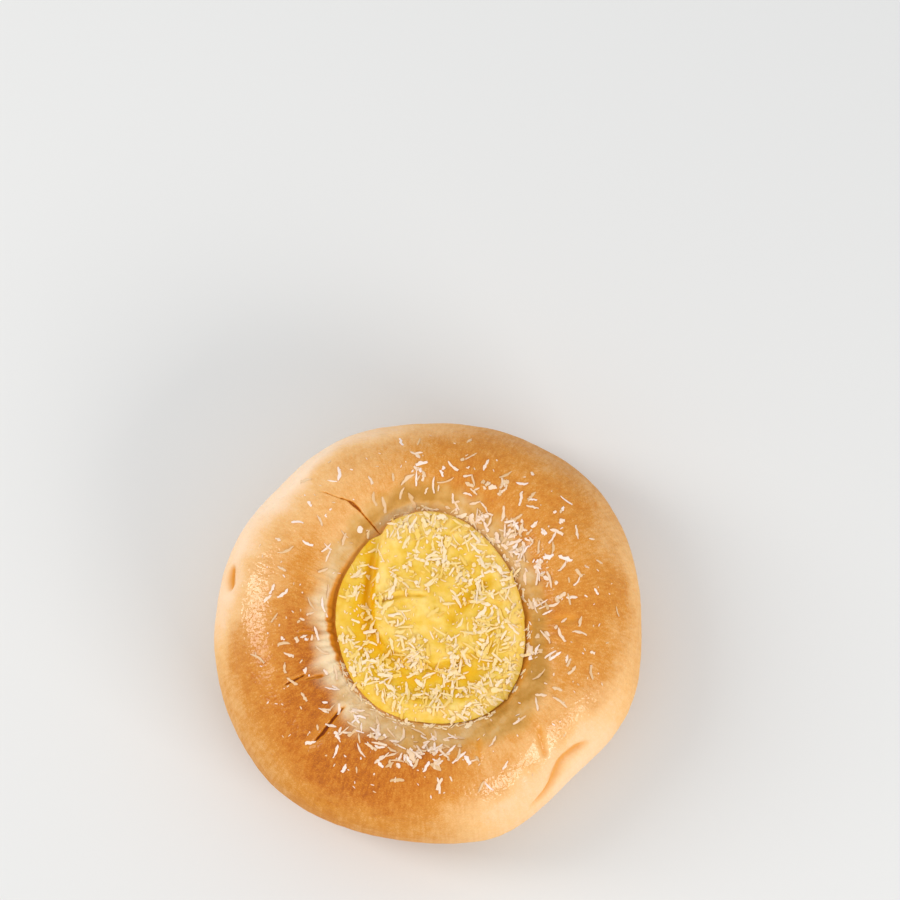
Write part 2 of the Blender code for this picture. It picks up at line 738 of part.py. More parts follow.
def build_bun(collection):
    """The bread: domed crust, well, folds, flat base and the coconut on its top."""
    mesh = turned_mesh("bun", bun_profile())
    move_vertices(mesh, shape_bread(vertex_array(mesh)))
    press_folds(mesh, BUN_FOLDS)
    mesh = thin_out(mesh, BUN_TRIANGLES)
    flatten_base(mesh)
    shreds = scatter_shreds(BUN_SHREDS, coconut_on_bread, clear_of_custard)
    mesh = fuse_shreds(mesh, shreds)
    crust = baked_surface("Golden crust", (0.68, 0.33, 0.09), 0.45)
    return finished_object("bun", mesh, crust, collection)


def build_custard(collection):
    """The custard: a piped swirl with a step, seams, a rim and coconut on its top."""
    mesh = turned_mesh("custard", custard_profile())
    move_vertices(mesh, shape_custard(vertex_array(mesh)))
    press_folds(mesh, CUSTARD_FOLDS)
    mesh = thin_out(mesh, CUSTARD_TRIANGLES)
    shreds = scatter_shreds(CUSTARD_SHREDS, coconut_on_custard, well_on_custard)
    mesh = fuse_shreds(mesh, shreds)
    custard = baked_surface("Baked custard", (0.90, 0.60, 0.10), 0.35)
    return finished_object("custard", mesh, custard, collection)


def main():
    """Clear the scene and build the coconut bun."""
    for item in list(bpy.data.objects):
        bpy.data.objects.remove(item)
    collection = bpy.data.collections.new("coconut bun")
    bpy.context.scene.collection.children.link(collection)
    build_bun(collection)
    build_custard(collection)


main()
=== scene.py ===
"""Looks of a coconut bun: its baked crust, its piped custard and its shredded coconut.

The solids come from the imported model. Each piece here keeps its solid's form and place,
and adds the finer relief, the colours and the many finer shreds of coconut.
"""

import logging
import math
import random
from collections.abc import Callable
from dataclasses import dataclass
from enum import Enum

import bmesh
import bpy
import numpy as np
from mathutils import Matrix, Vector, noise
from mathutils.bvhtree import BVHTree


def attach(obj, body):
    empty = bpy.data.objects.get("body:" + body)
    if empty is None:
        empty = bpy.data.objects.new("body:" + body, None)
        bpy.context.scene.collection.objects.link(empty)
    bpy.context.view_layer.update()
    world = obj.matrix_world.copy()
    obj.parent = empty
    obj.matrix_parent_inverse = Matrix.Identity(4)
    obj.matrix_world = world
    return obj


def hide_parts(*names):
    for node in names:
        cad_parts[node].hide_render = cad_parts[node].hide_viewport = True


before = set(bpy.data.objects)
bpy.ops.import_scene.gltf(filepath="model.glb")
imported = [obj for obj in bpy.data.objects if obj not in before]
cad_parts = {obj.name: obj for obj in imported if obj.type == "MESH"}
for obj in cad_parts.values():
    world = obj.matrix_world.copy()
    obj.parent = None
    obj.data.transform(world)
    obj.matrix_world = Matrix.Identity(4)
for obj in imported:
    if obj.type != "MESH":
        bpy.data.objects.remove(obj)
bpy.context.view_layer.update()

LOG = logging.getLogger("coconut_bun")

MM = 0.001
TURN = 2.0 * math.pi
ABOVE_ALL = 80.0 * MM
OUTLINE_STEPS = 721
# Direction and spread in degrees of the custard's deep groove and of its most pleated side.
GROOVE_SIDE = (184.0, 46.0)
PLEATED_SIDE = (345.0, 34.0)
# Radius of the tube on which spoke patterns are laid, in their own units.
SPOKE_TUBE = 26.0

Colour = tuple[float, float, float, float]
Pair = tuple[float, float]
Triple = tuple[float, float, float]
Stops = tuple[tuple[float, str], ...]
Thickness = Callable[[float, float], float]
MayLie = Callable[[float, float], bool]
Socket = bpy.types.NodeSocket


class Piece(Enum):
    """Names of the pieces of the visual model."""

    BREAD = "bread_crust"
    CUSTARD = "custard_swirl"
    COCONUT = "coconut_shreds"


class Slot(Enum):
    """Names of the material slots."""

    CRUST = "crust"
    CUSTARD = "custard"
    COCONUT = "coconut"


class Paint(Enum):
    """Numbers stored on a mesh's vertices for its material to read."""

    # How brown the crust is, with painted light and painted shade on some sides and spots.
    BROWNING_AND_LIGHT = "browning_and_light"
    RAWNESS = "rawness"
    GLAZE = "glaze"
    CREAM = "cream"
    # Painted shade inside the crust's creases and its groove along the custard.
    CREASE_SHADE = "crease"
    # Painted light and shade on the custard: paler on its ridges, lip and edge, darker in its valley and
    # folds.
    RIDGE_LIGHT_AND_SHADE = "ridge"
    TONE = "tone"


def linear_colour(code: str) -> Colour:
    """Turn an sRGB hex colour into linear values with full alpha.

    Args:
        code: the colour as "#rrggbb".

    Returns:
        Linear red, green and blue, and an alpha of 1.
    """
    parts = [int(code[start:start + 2], 16) / 255.0 for start in (1, 3, 5)]
    linear = [part / 12.92 if part <= 0.04045 else ((part + 0.055) / 1.055) ** 2.4 for part in parts]
    return (*linear, 1.0)


def smooth_step(value: np.ndarray) -> np.ndarray:
    """Ease from 0 to 1 as the value goes from 0 to 1, and stay flat beyond."""
    clipped = np.clip(value, 0.0, 1.0)
    return clipped * clipped * (3.0 - 2.0 * clipped)


def ramp(value: np.ndarray, span: Pair) -> np.ndarray:
    """Ease from 0 to 1 as the value goes from the span's first number to its second."""
    return smooth_step((value - span[0]) / (span[1] - span[0]))


def hump(value: np.ndarray, width: float) -> np.ndarray:
    """Give a round hump of height 1 at zero that fades over about twice its width."""
    return np.exp(-((value / width) ** 2))


def turned_from(angle_deg: np.ndarray, toward_deg: float) -> np.ndarray:
    """Give the angle from a direction, from -180 to 180 degrees."""
    return (angle_deg - toward_deg + 180.0) % 360.0 - 180.0


def directions(places: np.ndarray, middle: Pair = (0.0, 0.0)) -> np.ndarray:
    """Give the directions of places in plan from a middle, in degrees."""
    return np.degrees(np.arctan2(places[:, 1] - middle[1], places[:, 0] - middle[0]))


@dataclass(frozen=True)
class Band:
    """A rounded rise along one measure: its middle, its width and its height."""

    middle: float
    width: float
    height: float = 1.0

    def at(self, value: np.ndarray) -> np.ndarray:
        """Give the rise at each value."""
        return self.height * hump(value - self.middle, self.width)


@dataclass(frozen=True)
class Side:
    """A side of the bun that fades at its edges: direction and spread in degrees, and strength."""

    toward_deg: float
    spread_deg: float
    strength: float = 1.0

    def at(self, degrees: np.ndarray) -> np.ndarray:
        """Give the strength at each direction."""
        return self.strength * hump(turned_from(degrees, self.toward_deg), self.spread_deg)


def around(sides: tuple[Side, ...], degrees: np.ndarray) -> np.ndarray:
    """Give the strength of several sides together at each direction."""
    return sum(side.at(degrees) for side in sides)


@dataclass(frozen=True)
class Spot:
    """A soft spot in plan: middle and reach across in mm, strength, and length over width."""

    across: float
    along: float
    reach: float
    strength: float = 1.0
    stretch: float = 1.0

    def at(self, across: np.ndarray, along: np.ndarray) -> np.ndarray:
        """Give the strength at places in plan, in metres."""
        ahead = (along / MM - self.along) / self.stretch
        return self.strength * hump(np.hypot(across / MM - self.across, ahead), self.reach)


@dataclass(frozen=True)
class Bumps:
    """A layer of smooth random relief: its height, the size of a bump, and where its pattern starts."""

    height: float
    size: float
    start: float = 0.0

    def over(self, places: np.ndarray) -> np.ndarray:
        """Give the layer's height at each place."""
        shift = Vector((self.start, 2.0 * self.start, -self.start))
        return self.height * np.array([noise.noise(Vector(place) / self.size + shift) for place in places])


def layered(layers: tuple[Bumps, ...], places: np.ndarray) -> np.ndarray:
    """Give the height of several layers of relief together at each place."""
    return sum(layer.over(places) for layer in layers)


@dataclass(frozen=True)
class Grain:
    """A noise pattern in a finish: size of its grains in mm, finer layers, and a range for its values."""

    size_mm: float
    detail: float
    target: Pair
    source: Pair = (0.3, 0.7)


@dataclass(frozen=True)
class Relief:
    """Fine relief in a finish: size of its bumps in mm, finer layers, and its height in mm."""

    size_mm: float
    detail: float
    height_mm: float


def onto(value: Socket, source: Pair, target: Pair) -> dict:
    """Name the inputs that stretch a number from one range onto another."""
    names = ("From Min", "From Max", "To Min", "To Max")
    return {"Value": value, **dict(zip(names, source + target))}


@dataclass
class Recipe:
    """A Principled material in the making: its node tree, its shader and its object coordinates."""

    name: str

    def __post_init__(self) -> None:
        """Make the material and find its shader."""
        self.material = bpy.data.materials.new(self.name)
        self.material.use_nodes = True
        self.tree = self.material.node_tree
        self.shader = self.tree.nodes["Principled BSDF"]
        self.place = self.add("TexCoord", {}, "Object")

    def fill(self, node: bpy.types.Node, inputs: dict) -> None:
        """Give a node's inputs values or links.

        Args:
            node: the node.
            inputs: input name or index to a value, or to the output to link from.
        """
        for name, value in inputs.items():
            if isinstance(value, Socket):
                self.tree.links.new(value, node.inputs[name])
            else:
                node.inputs[name].default_value = value

    def add(self, kind: str, inputs: dict, output: str | int = 0, **settings: object) -> Socket:
        """Add a node with its settings, and give its inputs values or links.

        Args:
            kind: the node's type name, after ShaderNode.
            inputs: input name or index to a value, or to the output to link from.
            output: name or index of the output to give back.
            settings: the node's own properties, and the stops of a colour ramp.

        Returns:
            The output.
        """
        node = self.tree.nodes.new("ShaderNode" + kind)
        stops = settings.pop("stops", ())
        for name, value in settings.items():
            setattr(node, name, value)
        if stops:
            elements = node.color_ramp.elements
            for _ in stops[2:]:
                elements.new(0.5)
            for element, (position, code) in zip(elements, stops):
                element.position, element.color = position, linear_colour(code)
        self.fill(node, inputs)
        return node.outputs[output]

    def stained(self, grain: Grain) -> Socket:
        """Add a noise pattern with grains of a real size, stretched onto its range."""
        inputs = {"Vector": self.place, "Scale": 1.0 / (grain.size_mm * MM), "Detail": grain.detail}
        return self.add("MapRange", onto(self.add("TexNoise", inputs), grain.source, grain.target))

    def raised(self, relief: Relief, under: dict | None = None) -> Socket:
        """Tilt the surface by a noise pattern with bumps of a real size.

        Args:
            relief: the bumps.
            under: the input that links the surface normal under them, if other relief comes first.

        Returns:
            The tilted normal.
        """
        inputs = {"Vector": self.place, "Scale": 1.0 / (relief.size_mm * MM), "Detail": relief.detail}
        height = {"Height": self.add("TexNoise", inputs), "Distance": relief.height_mm * MM}
        return self.add("Bump", height | {"Strength": 1.0} | (under or {}))

    def finish(self, inputs: dict) -> bpy.types.Material:
        """Give the shader's inputs their values and links, and hand over the material."""
        self.fill(self.shader, inputs)
        return self.material


@dataclass(frozen=True)
class Wave:
    """One ripple of an outline: its number of bulges, its share of the radius, one peak."""

    count: int
    share: float
    peak_deg: float


@dataclass(frozen=True)
class Outline:
    """An uneven round outline in plan about its own middle."""

    radius: float
    waves: tuple[Wave, ...]

    def at(self, angle: np.ndarray, mean: float | None = None) -> np.ndarray:
        """Radius of the outline at an angle.

        Args:
            angle: angles in radians.
            mean: mean radius to use in place of the outline's own.

        Returns:
            The radius at each angle.
        """
        ripple = sum(
            wave.share * np.cos(wave.count * (angle - math.radians(wave.peak_deg))) for wave in self.waves
        )
        return (self.radius if mean is None else mean) * (1.0 + ripple)

    def box_middle(self) -> Pair:
        """Find the middle of the outline's bounding box.

        Returns:
            The middle in plan.
        """
        angle = np.linspace(0.0, TURN, OUTLINE_STEPS)
        across = self.at(angle) * np.cos(angle)
        along = self.at(angle) * np.sin(angle)
        return (across.max() + across.min()) / 2.0, (along.max() + along.min()) / 2.0


@dataclass(frozen=True)
class Fold:
    """A crease along a path in plan, in mm, with raised lips; shade is how dark its inside is painted, as
    painted shade.
    """

    path: tuple[Pair, ...]
    width: float
    depth: float
    lip: float
    shade: float


@dataclass(frozen=True)
class Drift:
    """A drift of coconut: its direction and spread in degrees, its radius and band in mm."""

    toward_deg: float
    spread_deg: float
    radius: float
    band: float
    strength: float

    def at(self, radius: float, degrees: float) -> float:
        """Give how thickly the drift lies at a radius in metres and a direction."""
        turn = turned_from(degrees, self.toward_deg)
        return self.strength * hump(turn, self.spread_deg) * hump(radius / MM - self.radius, self.band)


BUN_OUTLINE = Outline(
    52.9 * MM,
    (
        Wave(2, 0.0188, 35.2),
        Wave(3, 0.0046, 35.2),
        Wave(4, 0.0049, 31.4),
        Wave(5, 0.0036, 59.0),
        Wave(6, 0.0097, 44.8),
        Wave(7, 0.0046, 29.0),
        Wave(8, 0.0048, 21.9),
        Wave(10, 0.0028, 7.0),
    ),
)
CUSTARD_OUTLINE = Outline(
    24.55 * MM,
    (
        Wave(2, 0.0705, 102.4),
        Wave(3, 0.0280, 84.5),
        Wave(5, 0.0127, 21.4),
    ),
)
CUSTARD_MIDDLE: Pair = (0.6 * MM, -0.7 * MM)
PLAN_MIDDLE: Pair = BUN_OUTLINE.box_middle()


@dataclass(frozen=True)
class Well:
    """The well in the bread's top: a shallow bowl, flat in its middle."""

    middle_height: float
    rise: float
    flat_share: float

    def floor_at(self, share: np.ndarray) -> np.ndarray:
        """Height of the bowl at a share of its radius."""
        outward = np.clip((share - self.flat_share) / (1.0 - self.flat_share), 0.0, 1.0)
        return self.middle_height + self.rise * outward * outward

    def edge_slope(self, radius: float) -> float:
        """Rise over run at the edge of a bowl of some radius."""
        return 2.0 * self.rise / ((1.0 - self.flat_share) * radius)


WELL = Well(29.3 * MM, 3.1 * MM, 0.62)

# How a fold wavers, and its width at the ends as a share of the middle's.
FOLD_WANDER = (Bumps(0.25 * MM, 2.6 * MM, 6.0), Bumps(0.12 * MM, 0.9 * MM, 4.0))
FOLD_END_WIDTH = 0.45
# Shares of a fold's length, from its end, between which it fades in.
FOLD_FADE: Pair = (-0.02, 0.18)
# Place and width of a fold's lips and width of its shade, in widths of the fold.
FOLD_LIP_PLACE = 2.4
FOLD_LIP_WIDTH = 1.3
FOLD_SHADE_WIDTH = 1.1


def path_distance(places: np.ndarray, path: np.ndarray) -> tuple[np.ndarray, np.ndarray]:
    """Measure how far places lie from a chain of straight runs.

    Args:
        places: rows of coordinates.
        path: the chain's points, as rows of as many coordinates.

    Returns:
        The distance of each place, and its share along the chain.
    """
    lengths = [np.linalg.norm(path[i + 1] - path[i]) for i in range(len(path) - 1)]
    nearest = np.full(len(places), np.inf)
    along = np.zeros(len(places))
    before = 0.0
    for start, end, length in zip(path[:-1], path[1:], lengths):
        run = (end - start) / length
        reach = np.clip((places - start) @ run, 0.0, length)
        gap = np.linalg.norm(places - (start + reach[:, None] * run), axis=1)
        closer = gap < nearest
        nearest = np.where(closer, gap, nearest)
        along = np.where(closer, (before + reach) / sum(lengths), along)
        before += length
    return nearest, along


def custard_share(across: np.ndarray, along: np.ndarray) -> np.ndarray:
    """How far places in plan lie from the custard's middle, as a share of its outline."""
    right, up = across - CUSTARD_MIDDLE[0], along - CUSTARD_MIDDLE[1]
    return np.hypot(right, up) / CUSTARD_OUTLINE.at(np.arctan2(up, right))


def custard_gap(across: np.ndarray, along: np.ndarray) -> np.ndarray:
    """How far places in plan lie outside the custard's outline, negative inside it."""
    return (custard_share(across, along) - 1.0) * CUSTARD_OUTLINE.radius


def quarter(start: Pair, end: Pair, fullness: float, steps: int, from_level: bool = True) -> list[Pair]:
    """Trace a quarter of a superellipse between two points of a cross-section.

    Args:
        start: first radius and height.
        end: last radius and height.
        fullness: 2 for an ellipse, more for a fuller bulge.
        steps: number of points.
        from_level: whether the curve starts level and ends upright.

    Returns:
        The points without the last one.
    """
    points = []
    for step in range(steps):
        turn = 0.5 * math.pi * step / steps
        sine = math.sin(turn) ** (2.0 / fullness)
        cosine = math.cos(turn) ** (2.0 / fullness)
        outward, upward = (sine, 1.0 - cosine) if from_level else (1.0 - cosine, sine)
        points.append((start[0] + (end[0] - start[0]) * outward, start[1] + (end[1] - start[1]) * upward))
    return points


def bank_between(start: Pair, end: Pair, first_slope: float, steps: int) -> list[Pair]:
    """Trace a bank that leaves one point at a slope and comes out level at another.

    Args:
        start: first radius and height.
        end: last radius and height.
        first_slope: rise over run at the start.
        steps: number of points.

    Returns:
        The points without the last one.
    """
    span, rise = end[0] - start[0], end[1] - start[1]
    points = []
    for step in range(steps):
        way = step / steps
        climb = first_slope * span / rise * way * (1.0 - way) ** 2 + way * way * (3.0 - 2.0 * way)
        points.append((start[0] + span * way, start[1] + rise * climb))
    return points


def turned_places(profile: list[Pair], steps: int) -> np.ndarray:
    """Turn a cross-section about the Z axis.

    Args:
        profile: radius and height of each ring, from the top's middle to the bottom's.
        steps: number of vertices in a ring.

    Returns:
        The places of all vertices, ring by ring.
    """
    angle = np.linspace(0.0, TURN, steps, endpoint=False)
    rings = np.array(profile)
    places = np.empty((len(rings), steps, 3))
    places[:, :, 0] = rings[:, 0, None] * np.cos(angle)
    places[:, :, 1] = rings[:, 0, None] * np.sin(angle)
    places[:, :, 2] = rings[:, 1, None]
    return places.reshape(-1, 3)


def ring_mesh(name: str, places: np.ndarray, steps: int) -> bpy.types.Mesh:
    """Join rings of vertices into a closed mesh with a fan at the top and one below.

    Args:
        name: the mesh's name.
        places: vertices ring by ring, the first ring at the top.
        steps: number of vertices in a ring.

    Returns:
        The closed mesh.
    """
    rings = len(places) // steps
    first, last = places[:steps].mean(axis=0), places[-steps:].mean(axis=0)
    top, bottom = rings * steps, rings * steps + 1
    faces: list[tuple[int, ...]] = []
    for ring in range(rings - 1):
        upper, lower = ring * steps, (ring + 1) * steps
        faces += [
            (upper + i, lower + i, lower + (i + 1) % steps, upper + (i + 1) % steps) for i in range(steps)
        ]
    faces += [(top, i, (i + 1) % steps) for i in range(steps)]
    low = (rings - 1) * steps
    faces += [(bottom, low + (i + 1) % steps, low + i) for i in range(steps)]
    mesh = bpy.data.meshes.new(name)
    mesh.from_pydata(np.vstack([places, first, last]).tolist(), [], faces)
    mesh.update()
    return mesh


def vertex_array(mesh: bpy.types.Mesh, attribute: str = "co") -> np.ndarray:
    """Read positions or normals of a mesh's vertices.

    Args:
        mesh: the mesh.
        attribute: "co" or "normal".

    Returns:
        Rows of x, y and z.
    """
    values = np.empty(len(mesh.vertices) * 3)
    mesh.vertices.foreach_get(attribute, values)
    return values.reshape(-1, 3)


def move_vertices(mesh: bpy.types.Mesh, places: np.ndarray) -> None:
    """Put a mesh's vertices at new places."""
    mesh.vertices.foreach_set("co", places.ravel())
    mesh.update()


def push_out(mesh: bpy.types.Mesh, push: np.ndarray) -> None:
    """Move each vertex of a mesh along its normal, inward where the push is negative."""
    move_vertices(mesh, vertex_array(mesh) + vertex_array(mesh, "normal") * push[:, None])


def paint(mesh: bpy.types.Mesh, name: Paint, values: np.ndarray) -> None:
    """Store one number for each vertex of a mesh, for its material to read."""
    layer = mesh.attributes.new(name.value, "FLOAT", "POINT")
    layer.data.foreach_set("value", np.asarray(values, dtype=np.float32))


def search_tree(mesh: bpy.types.Mesh) -> BVHTree:
    """Build a search tree of a mesh, for finding its surface from above.

    Args:
        mesh: the mesh.

    Returns:
        The tree.
    """
    form = bmesh.new()
    form.from_mesh(mesh)
    tree = BVHTree.FromBMesh(form)
    form.free()
    return tree


def surface_below(trees: tuple[BVHTree, ...], across: float, along: float) -> tuple[Vector, Vector]:
    """Find the highest surface straight below a place in plan.

    Args:
        trees: search trees of the surfaces.
        across: x in plan.
        along: y in plan.

    Returns:
        The point and its normal.
    """
    above = Vector((across, along, ABOVE_ALL))
    hits = [tree.ray_cast(above, Vector((0.0, 0.0, -1.0)))[:2] for tree in trees]
    return max((hit for hit in hits if hit[0] is not None), key=lambda hit: hit[0].z)


def smooth_path(points: tuple[Pair, ...], runs: int = 6) -> list[np.ndarray]:
    """Draw a smooth curve through points in plan.

    Args:
        points: the points.
        runs: number of straight runs between two of them.

    Returns:
        Points along the curve, from the first point to the last.
    """
    knots = [np.array(point) for point in points]
    knots = [2.0 * knots[0] - knots[1], *knots, 2.0 * knots[-1] - knots[-2]]
    path = []
    for before, start, end, after in zip(knots, knots[1:], knots[2:], knots[3:]):
        for way in np.arange(runs) / runs:
            bend = 2.0 * before - 5.0 * start + 4.0 * end - after
            twist = 3.0 * start - before - 3.0 * end + after
            path.append(start + 0.5 * way * (end - before + way * (bend + way * twist)))
    return [*path, knots[-2]]


def fold_lines(mesh: bpy.types.Mesh, folds: tuple[Fold, ...]) -> list[np.ndarray]:
    """Lay the paths of folds onto a mesh, as points on its surface."""
    trees, paths = (search_tree(mesh),), [smooth_path(fold.path) for fold in folds]
    return [np.array([surface_below(trees, x * MM, y * MM)[0] for x, y in path]) for path in paths]


def refine_near(mesh: bpy.types.Mesh, lines: list[np.ndarray], reach: float) -> None:
    """Halve the mesh's edges close to some lines, so that thin creases come out sharp.

    Args:
        mesh: the mesh.
        lines: the lines.
        reach: how far from a line edges are halved.
    """
    places = vertex_array(mesh)
    near = np.min([path_distance(places, line)[0] for line in lines], axis=0) < reach
    form = bmesh.new()
    form.from_mesh(mesh)
    form.verts.ensure_lookup_table()
    chosen = [edge for edge in form.edges if all(near[vertex.index] for vertex in edge.verts)]
    bmesh.ops.subdivide_edges(form, edges=chosen, cuts=1, use_grid_fill=True)
    form.to_mesh(mesh)
    form.free()


def press_folds(mesh: bpy.types.Mesh, folds: tuple[Fold, ...], lines: list[np.ndarray]) -> np.ndarray:
    """Press creases into a mesh along its normals.

    Args:
        mesh: the mesh.
        folds: the creases.
        lines: their paths on the mesh.

    Returns:
        How much painted shade each vertex gets in a crease, from 0 to the fold's shade.
    """
    places = vertex_array(mesh)
    push = np.zeros(len(places))
    shade = np.zeros(len(places))
    wander = layered(FOLD_WANDER, places)
    for fold, line in zip(folds, lines):
        gap, along = path_distance(places, line)
        width = fold.width * MM * (FOLD_END_WIDTH + (1.0 - FOLD_END_WIDTH) * np.sin(math.pi * along))
        gap = np.abs(gap + wander)
        fade = ramp(np.minimum(along, 1.0 - along), FOLD_FADE)
        push -= fold.depth * MM * hump(gap, width) * fade
        push += fold.lip * MM * hump(gap - FOLD_LIP_PLACE * width, FOLD_LIP_WIDTH * width) * fade
        shade = np.maximum(shade, fold.shade * hump(gap, FOLD_SHADE_WIDTH * width) * fade)
    push_out(mesh, push)
    return shade


def add_piece(piece: Piece, mesh: bpy.types.Mesh, slot: Slot, replaced: str | None) -> bpy.types.Object:
    """Put a mesh in the scene as a piece of the bun.

    Args:
        piece: which piece it is.
        mesh: its mesh, in the plan's own frame.
        slot: the slot that its finish comes from; not used.
        replaced: the node that it stands for, if any.

    Returns:
        The new object.
    """
    mesh.transform(Matrix.Translation((-PLAN_MIDDLE[0], -PLAN_MIDDLE[1], 0.0)))
    item = bpy.data.objects.new(piece.value, mesh)
    bpy.context.scene.collection.objects.link(item)
    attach(item, "root")
    if replaced:
        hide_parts(replaced)
    return item


@dataclass(frozen=True)
class BakedCrust:
    """Wheat dough, egg-washed and oven baked.

    To the eye it is golden brown with a soft sheen, broken into glints by tiny blisters,
    and pale olive cream round the custard, where the dough was shaded from the heat.
    """

    browned: Stops = (
        (0.0, "#fad9b6"),
        (0.25, "#eeb977"),
        (0.5, "#d68d32"),
        (0.72, "#c26e0f"),
        (0.88, "#aa5808"),
        (1.0, "#843e08"),
    )
    raw: Stops = ((0.0, "#bd8738"), (0.3, "#d5a259"), (0.55, "#dab37c"), (1.0, "#f1d8b0"))
    # Colours of the painted shade inside creases and the groove.
    crease_shading: Stops = ((0.0, "#e9a745"), (0.5, "#dd8d20"), (1.0, "#8f4210"))
    mottle: Grain = Grain(2.2, 2.0, (0.46, 0.58))
    flecks: Grain = Grain(0.5, 1.0, (0.0, 0.19))
    # Tiny pale specks: partly pale blisters, partly painted glints.
    pale_specks_and_glints: Grain = Grain(0.5, 0.0, (0.0, 0.2), (0.58, 0.75))
    dough_patches: Grain = Grain(3.0, 3.0, (-0.2, 0.2))
    dimples: Relief = Relief(3.0, 2.0, 0.26)
    blisters: Relief = Relief(0.75, 1.0, 0.12)
    wrinkle_mm: float = 0.55
    wrinkle_radius_mm: float = 38.0
    wrinkle_stretch: float = 3.0
    wrinkle_height_mm: float = 0.06
    streak_source: Pair = (0.35, 0.65)
    streak_target: Pair = (0.08, 0.0)
    full_marks: float = 0.64
    crease_shading_from: float = 0.55

    def wrinkles(self, recipe: Recipe) -> Socket:
        """Add a noise pattern whose grains are drawn out away from the bun's middle.

        Args:
            recipe: the material in the making.

        Returns:
            The pattern, from 0 to 1.
        """
        away = recipe.add("VectorMath", {0: recipe.place, 1: (1.0, 1.0, 0.0)}, operation="MULTIPLY")
        spoke = recipe.add("VectorMath", {0: away}, operation="NORMALIZE")
        reach = recipe.add("VectorMath", {0: away}, "Value", operation="LENGTH")
        ring = {0: spoke, "Scale": self.wrinkle_radius_mm * MM}
        circle = recipe.add("VectorMath", ring, operation="SCALE")
        outward = recipe.add("Math", {0: reach, 1: 1.0 / self.wrinkle_stretch}, operation="MULTIPLY")
        raised = recipe.add("CombineXYZ", {"Z": outward})
        place = recipe.add("VectorMath", {0: circle, 1: raised}, operation="ADD")
        inputs = {"Vector": place, "Scale": 1.0 / (self.wrinkle_mm * MM), "Detail": 0.0}
        return recipe.add("TexNoise", inputs)

    def material(self) -> bpy.types.Material:
        """Build the crust's material.

        Returns:
            The material.
        """
        recipe = Recipe("Wheat dough, egg-washed and baked")
        add = recipe.add
        browning_and_light, rawness, glaze, cream, crease = (
            add("Attribute", {}, "Fac", attribute_name=number.value)
            for number in (Paint.BROWNING_AND_LIGHT, Paint.RAWNESS, Paint.GLAZE, Paint.CREAM, Paint.CREASE_SHADE)
        )
        # A mix has its colours at inputs 6 and 7, and mixed at output 2.
        mixing = {"data_type": "RGBA", "blend_type": "MIX"}
        wrinkles = self.wrinkles(recipe)
        steps = (
            ("ADD", recipe.stained(self.flecks)),
            ("ADD", add("MapRange", onto(wrinkles, self.streak_source, self.streak_target))),
            # Pale specks and painted glints lighten the crust.
            ("SUBTRACT", recipe.stained(self.pale_specks_and_glints)),
            ("MULTIPLY", browning_and_light),
            ("DIVIDE", self.full_marks),
        )
        marks = recipe.stained(self.mottle)
        for operation, number in steps:
            marks = add("Math", {0: marks, 1: number}, operation=operation, use_clamp=True)
        skin = add("ValToRGB", {"Fac": marks}, stops=self.browned)
        patches = {0: recipe.stained(self.dough_patches), 1: cream}
        dough_tone = add("Math", patches, operation="ADD", use_clamp=True)
        dough = add("ValToRGB", {"Fac": dough_tone}, stops=self.raw)
        surface = add("Mix", {"Factor": rawness, 6: skin, 7: dough}, 2, **mixing)
        # Creases and the groove get painted shade: darker, warmer colours mixed in.
        inside = add("ValToRGB", {"Fac": crease}, stops=self.crease_shading)
        crease_shading = add("MapRange", onto(crease, (0.0, self.crease_shading_from), (0.0, 1.0)))
        colour = add("Mix", {"Factor": crease_shading, 6: surface, 7: inside}, 2, **mixing)
        wrinkled = {
            "Height": wrinkles,
            "Strength": 1.0,
            "Distance": self.wrinkle_height_mm * MM,
            "Normal": recipe.raised(self.dimples),
        }
        blistered = recipe.raised(self.blisters, {"Normal": add("Bump", wrinkled)})
        return recipe.finish(
            {
                "Base Color": colour,
                "Normal": blistered,
                "Roughness": 0.6,
                "IOR": 1.4,
                "Specular IOR Level": 0.2,
                "Coat Weight": glaze,
                "Coat Normal": blistered,
                "Coat Roughness": 0.1,
                "Subsurface Weight": 0.08,
                "Subsurface Radius": (1.0, 0.5, 0.25),
                "Subsurface Scale": 1.2 * MM,
            }
        )


@dataclass(frozen=True)
class BakedCustard:
    """Egg and milk custard, piped and then baked.

    To the eye it is smooth, dense and slightly translucent: clear yellow on its ridges,
    deeper and warmer yellow in its valleys, with a soft sheen. The ridges' clear yellow
    and the valleys' deeper yellow are painted light and painted shade.
    """

    # Colours from painted shade in the valleys to painted light on the ridges.
    depth: Stops = ((0.0, "#ecae00"), (0.3, "#e6b41a"), (0.6, "#edc248"), (1.0, "#f9d67e"))
    mottle: Grain = Grain(2.4, 3.0, (0.0, 0.42))
    pitting: Relief = Relief(1.0, 3.0, 0.12)
    lightening: float = 0.17

    def material(self) -> bpy.types.Material:
        """Build the custard's material.

        Returns:
            The material.
        """
        recipe = Recipe("Egg custard, piped and baked")
        height = recipe.add("Attribute", {}, "Fac", attribute_name=Paint.RIDGE_LIGHT_AND_SHADE.value)
        for operation, number in (("ADD", self.lightening), ("SUBTRACT", recipe.stained(self.mottle))):
            height = recipe.add("Math", {0: height, 1: number}, operation=operation, use_clamp=True)
        return recipe.finish(
            {
                "Base Color": recipe.add("ValToRGB", {"Fac": height}, stops=self.depth),
                "Normal": recipe.raised(self.pitting),
                "Roughness": 0.5,
                "IOR": 1.4,
                "Specular IOR Level": 0.35,
                "Subsurface Weight": 0.4,
                "Subsurface Radius": (1.0, 0.75, 0.22),
                "Subsurface Scale": 1.8 * MM,
            }
        )


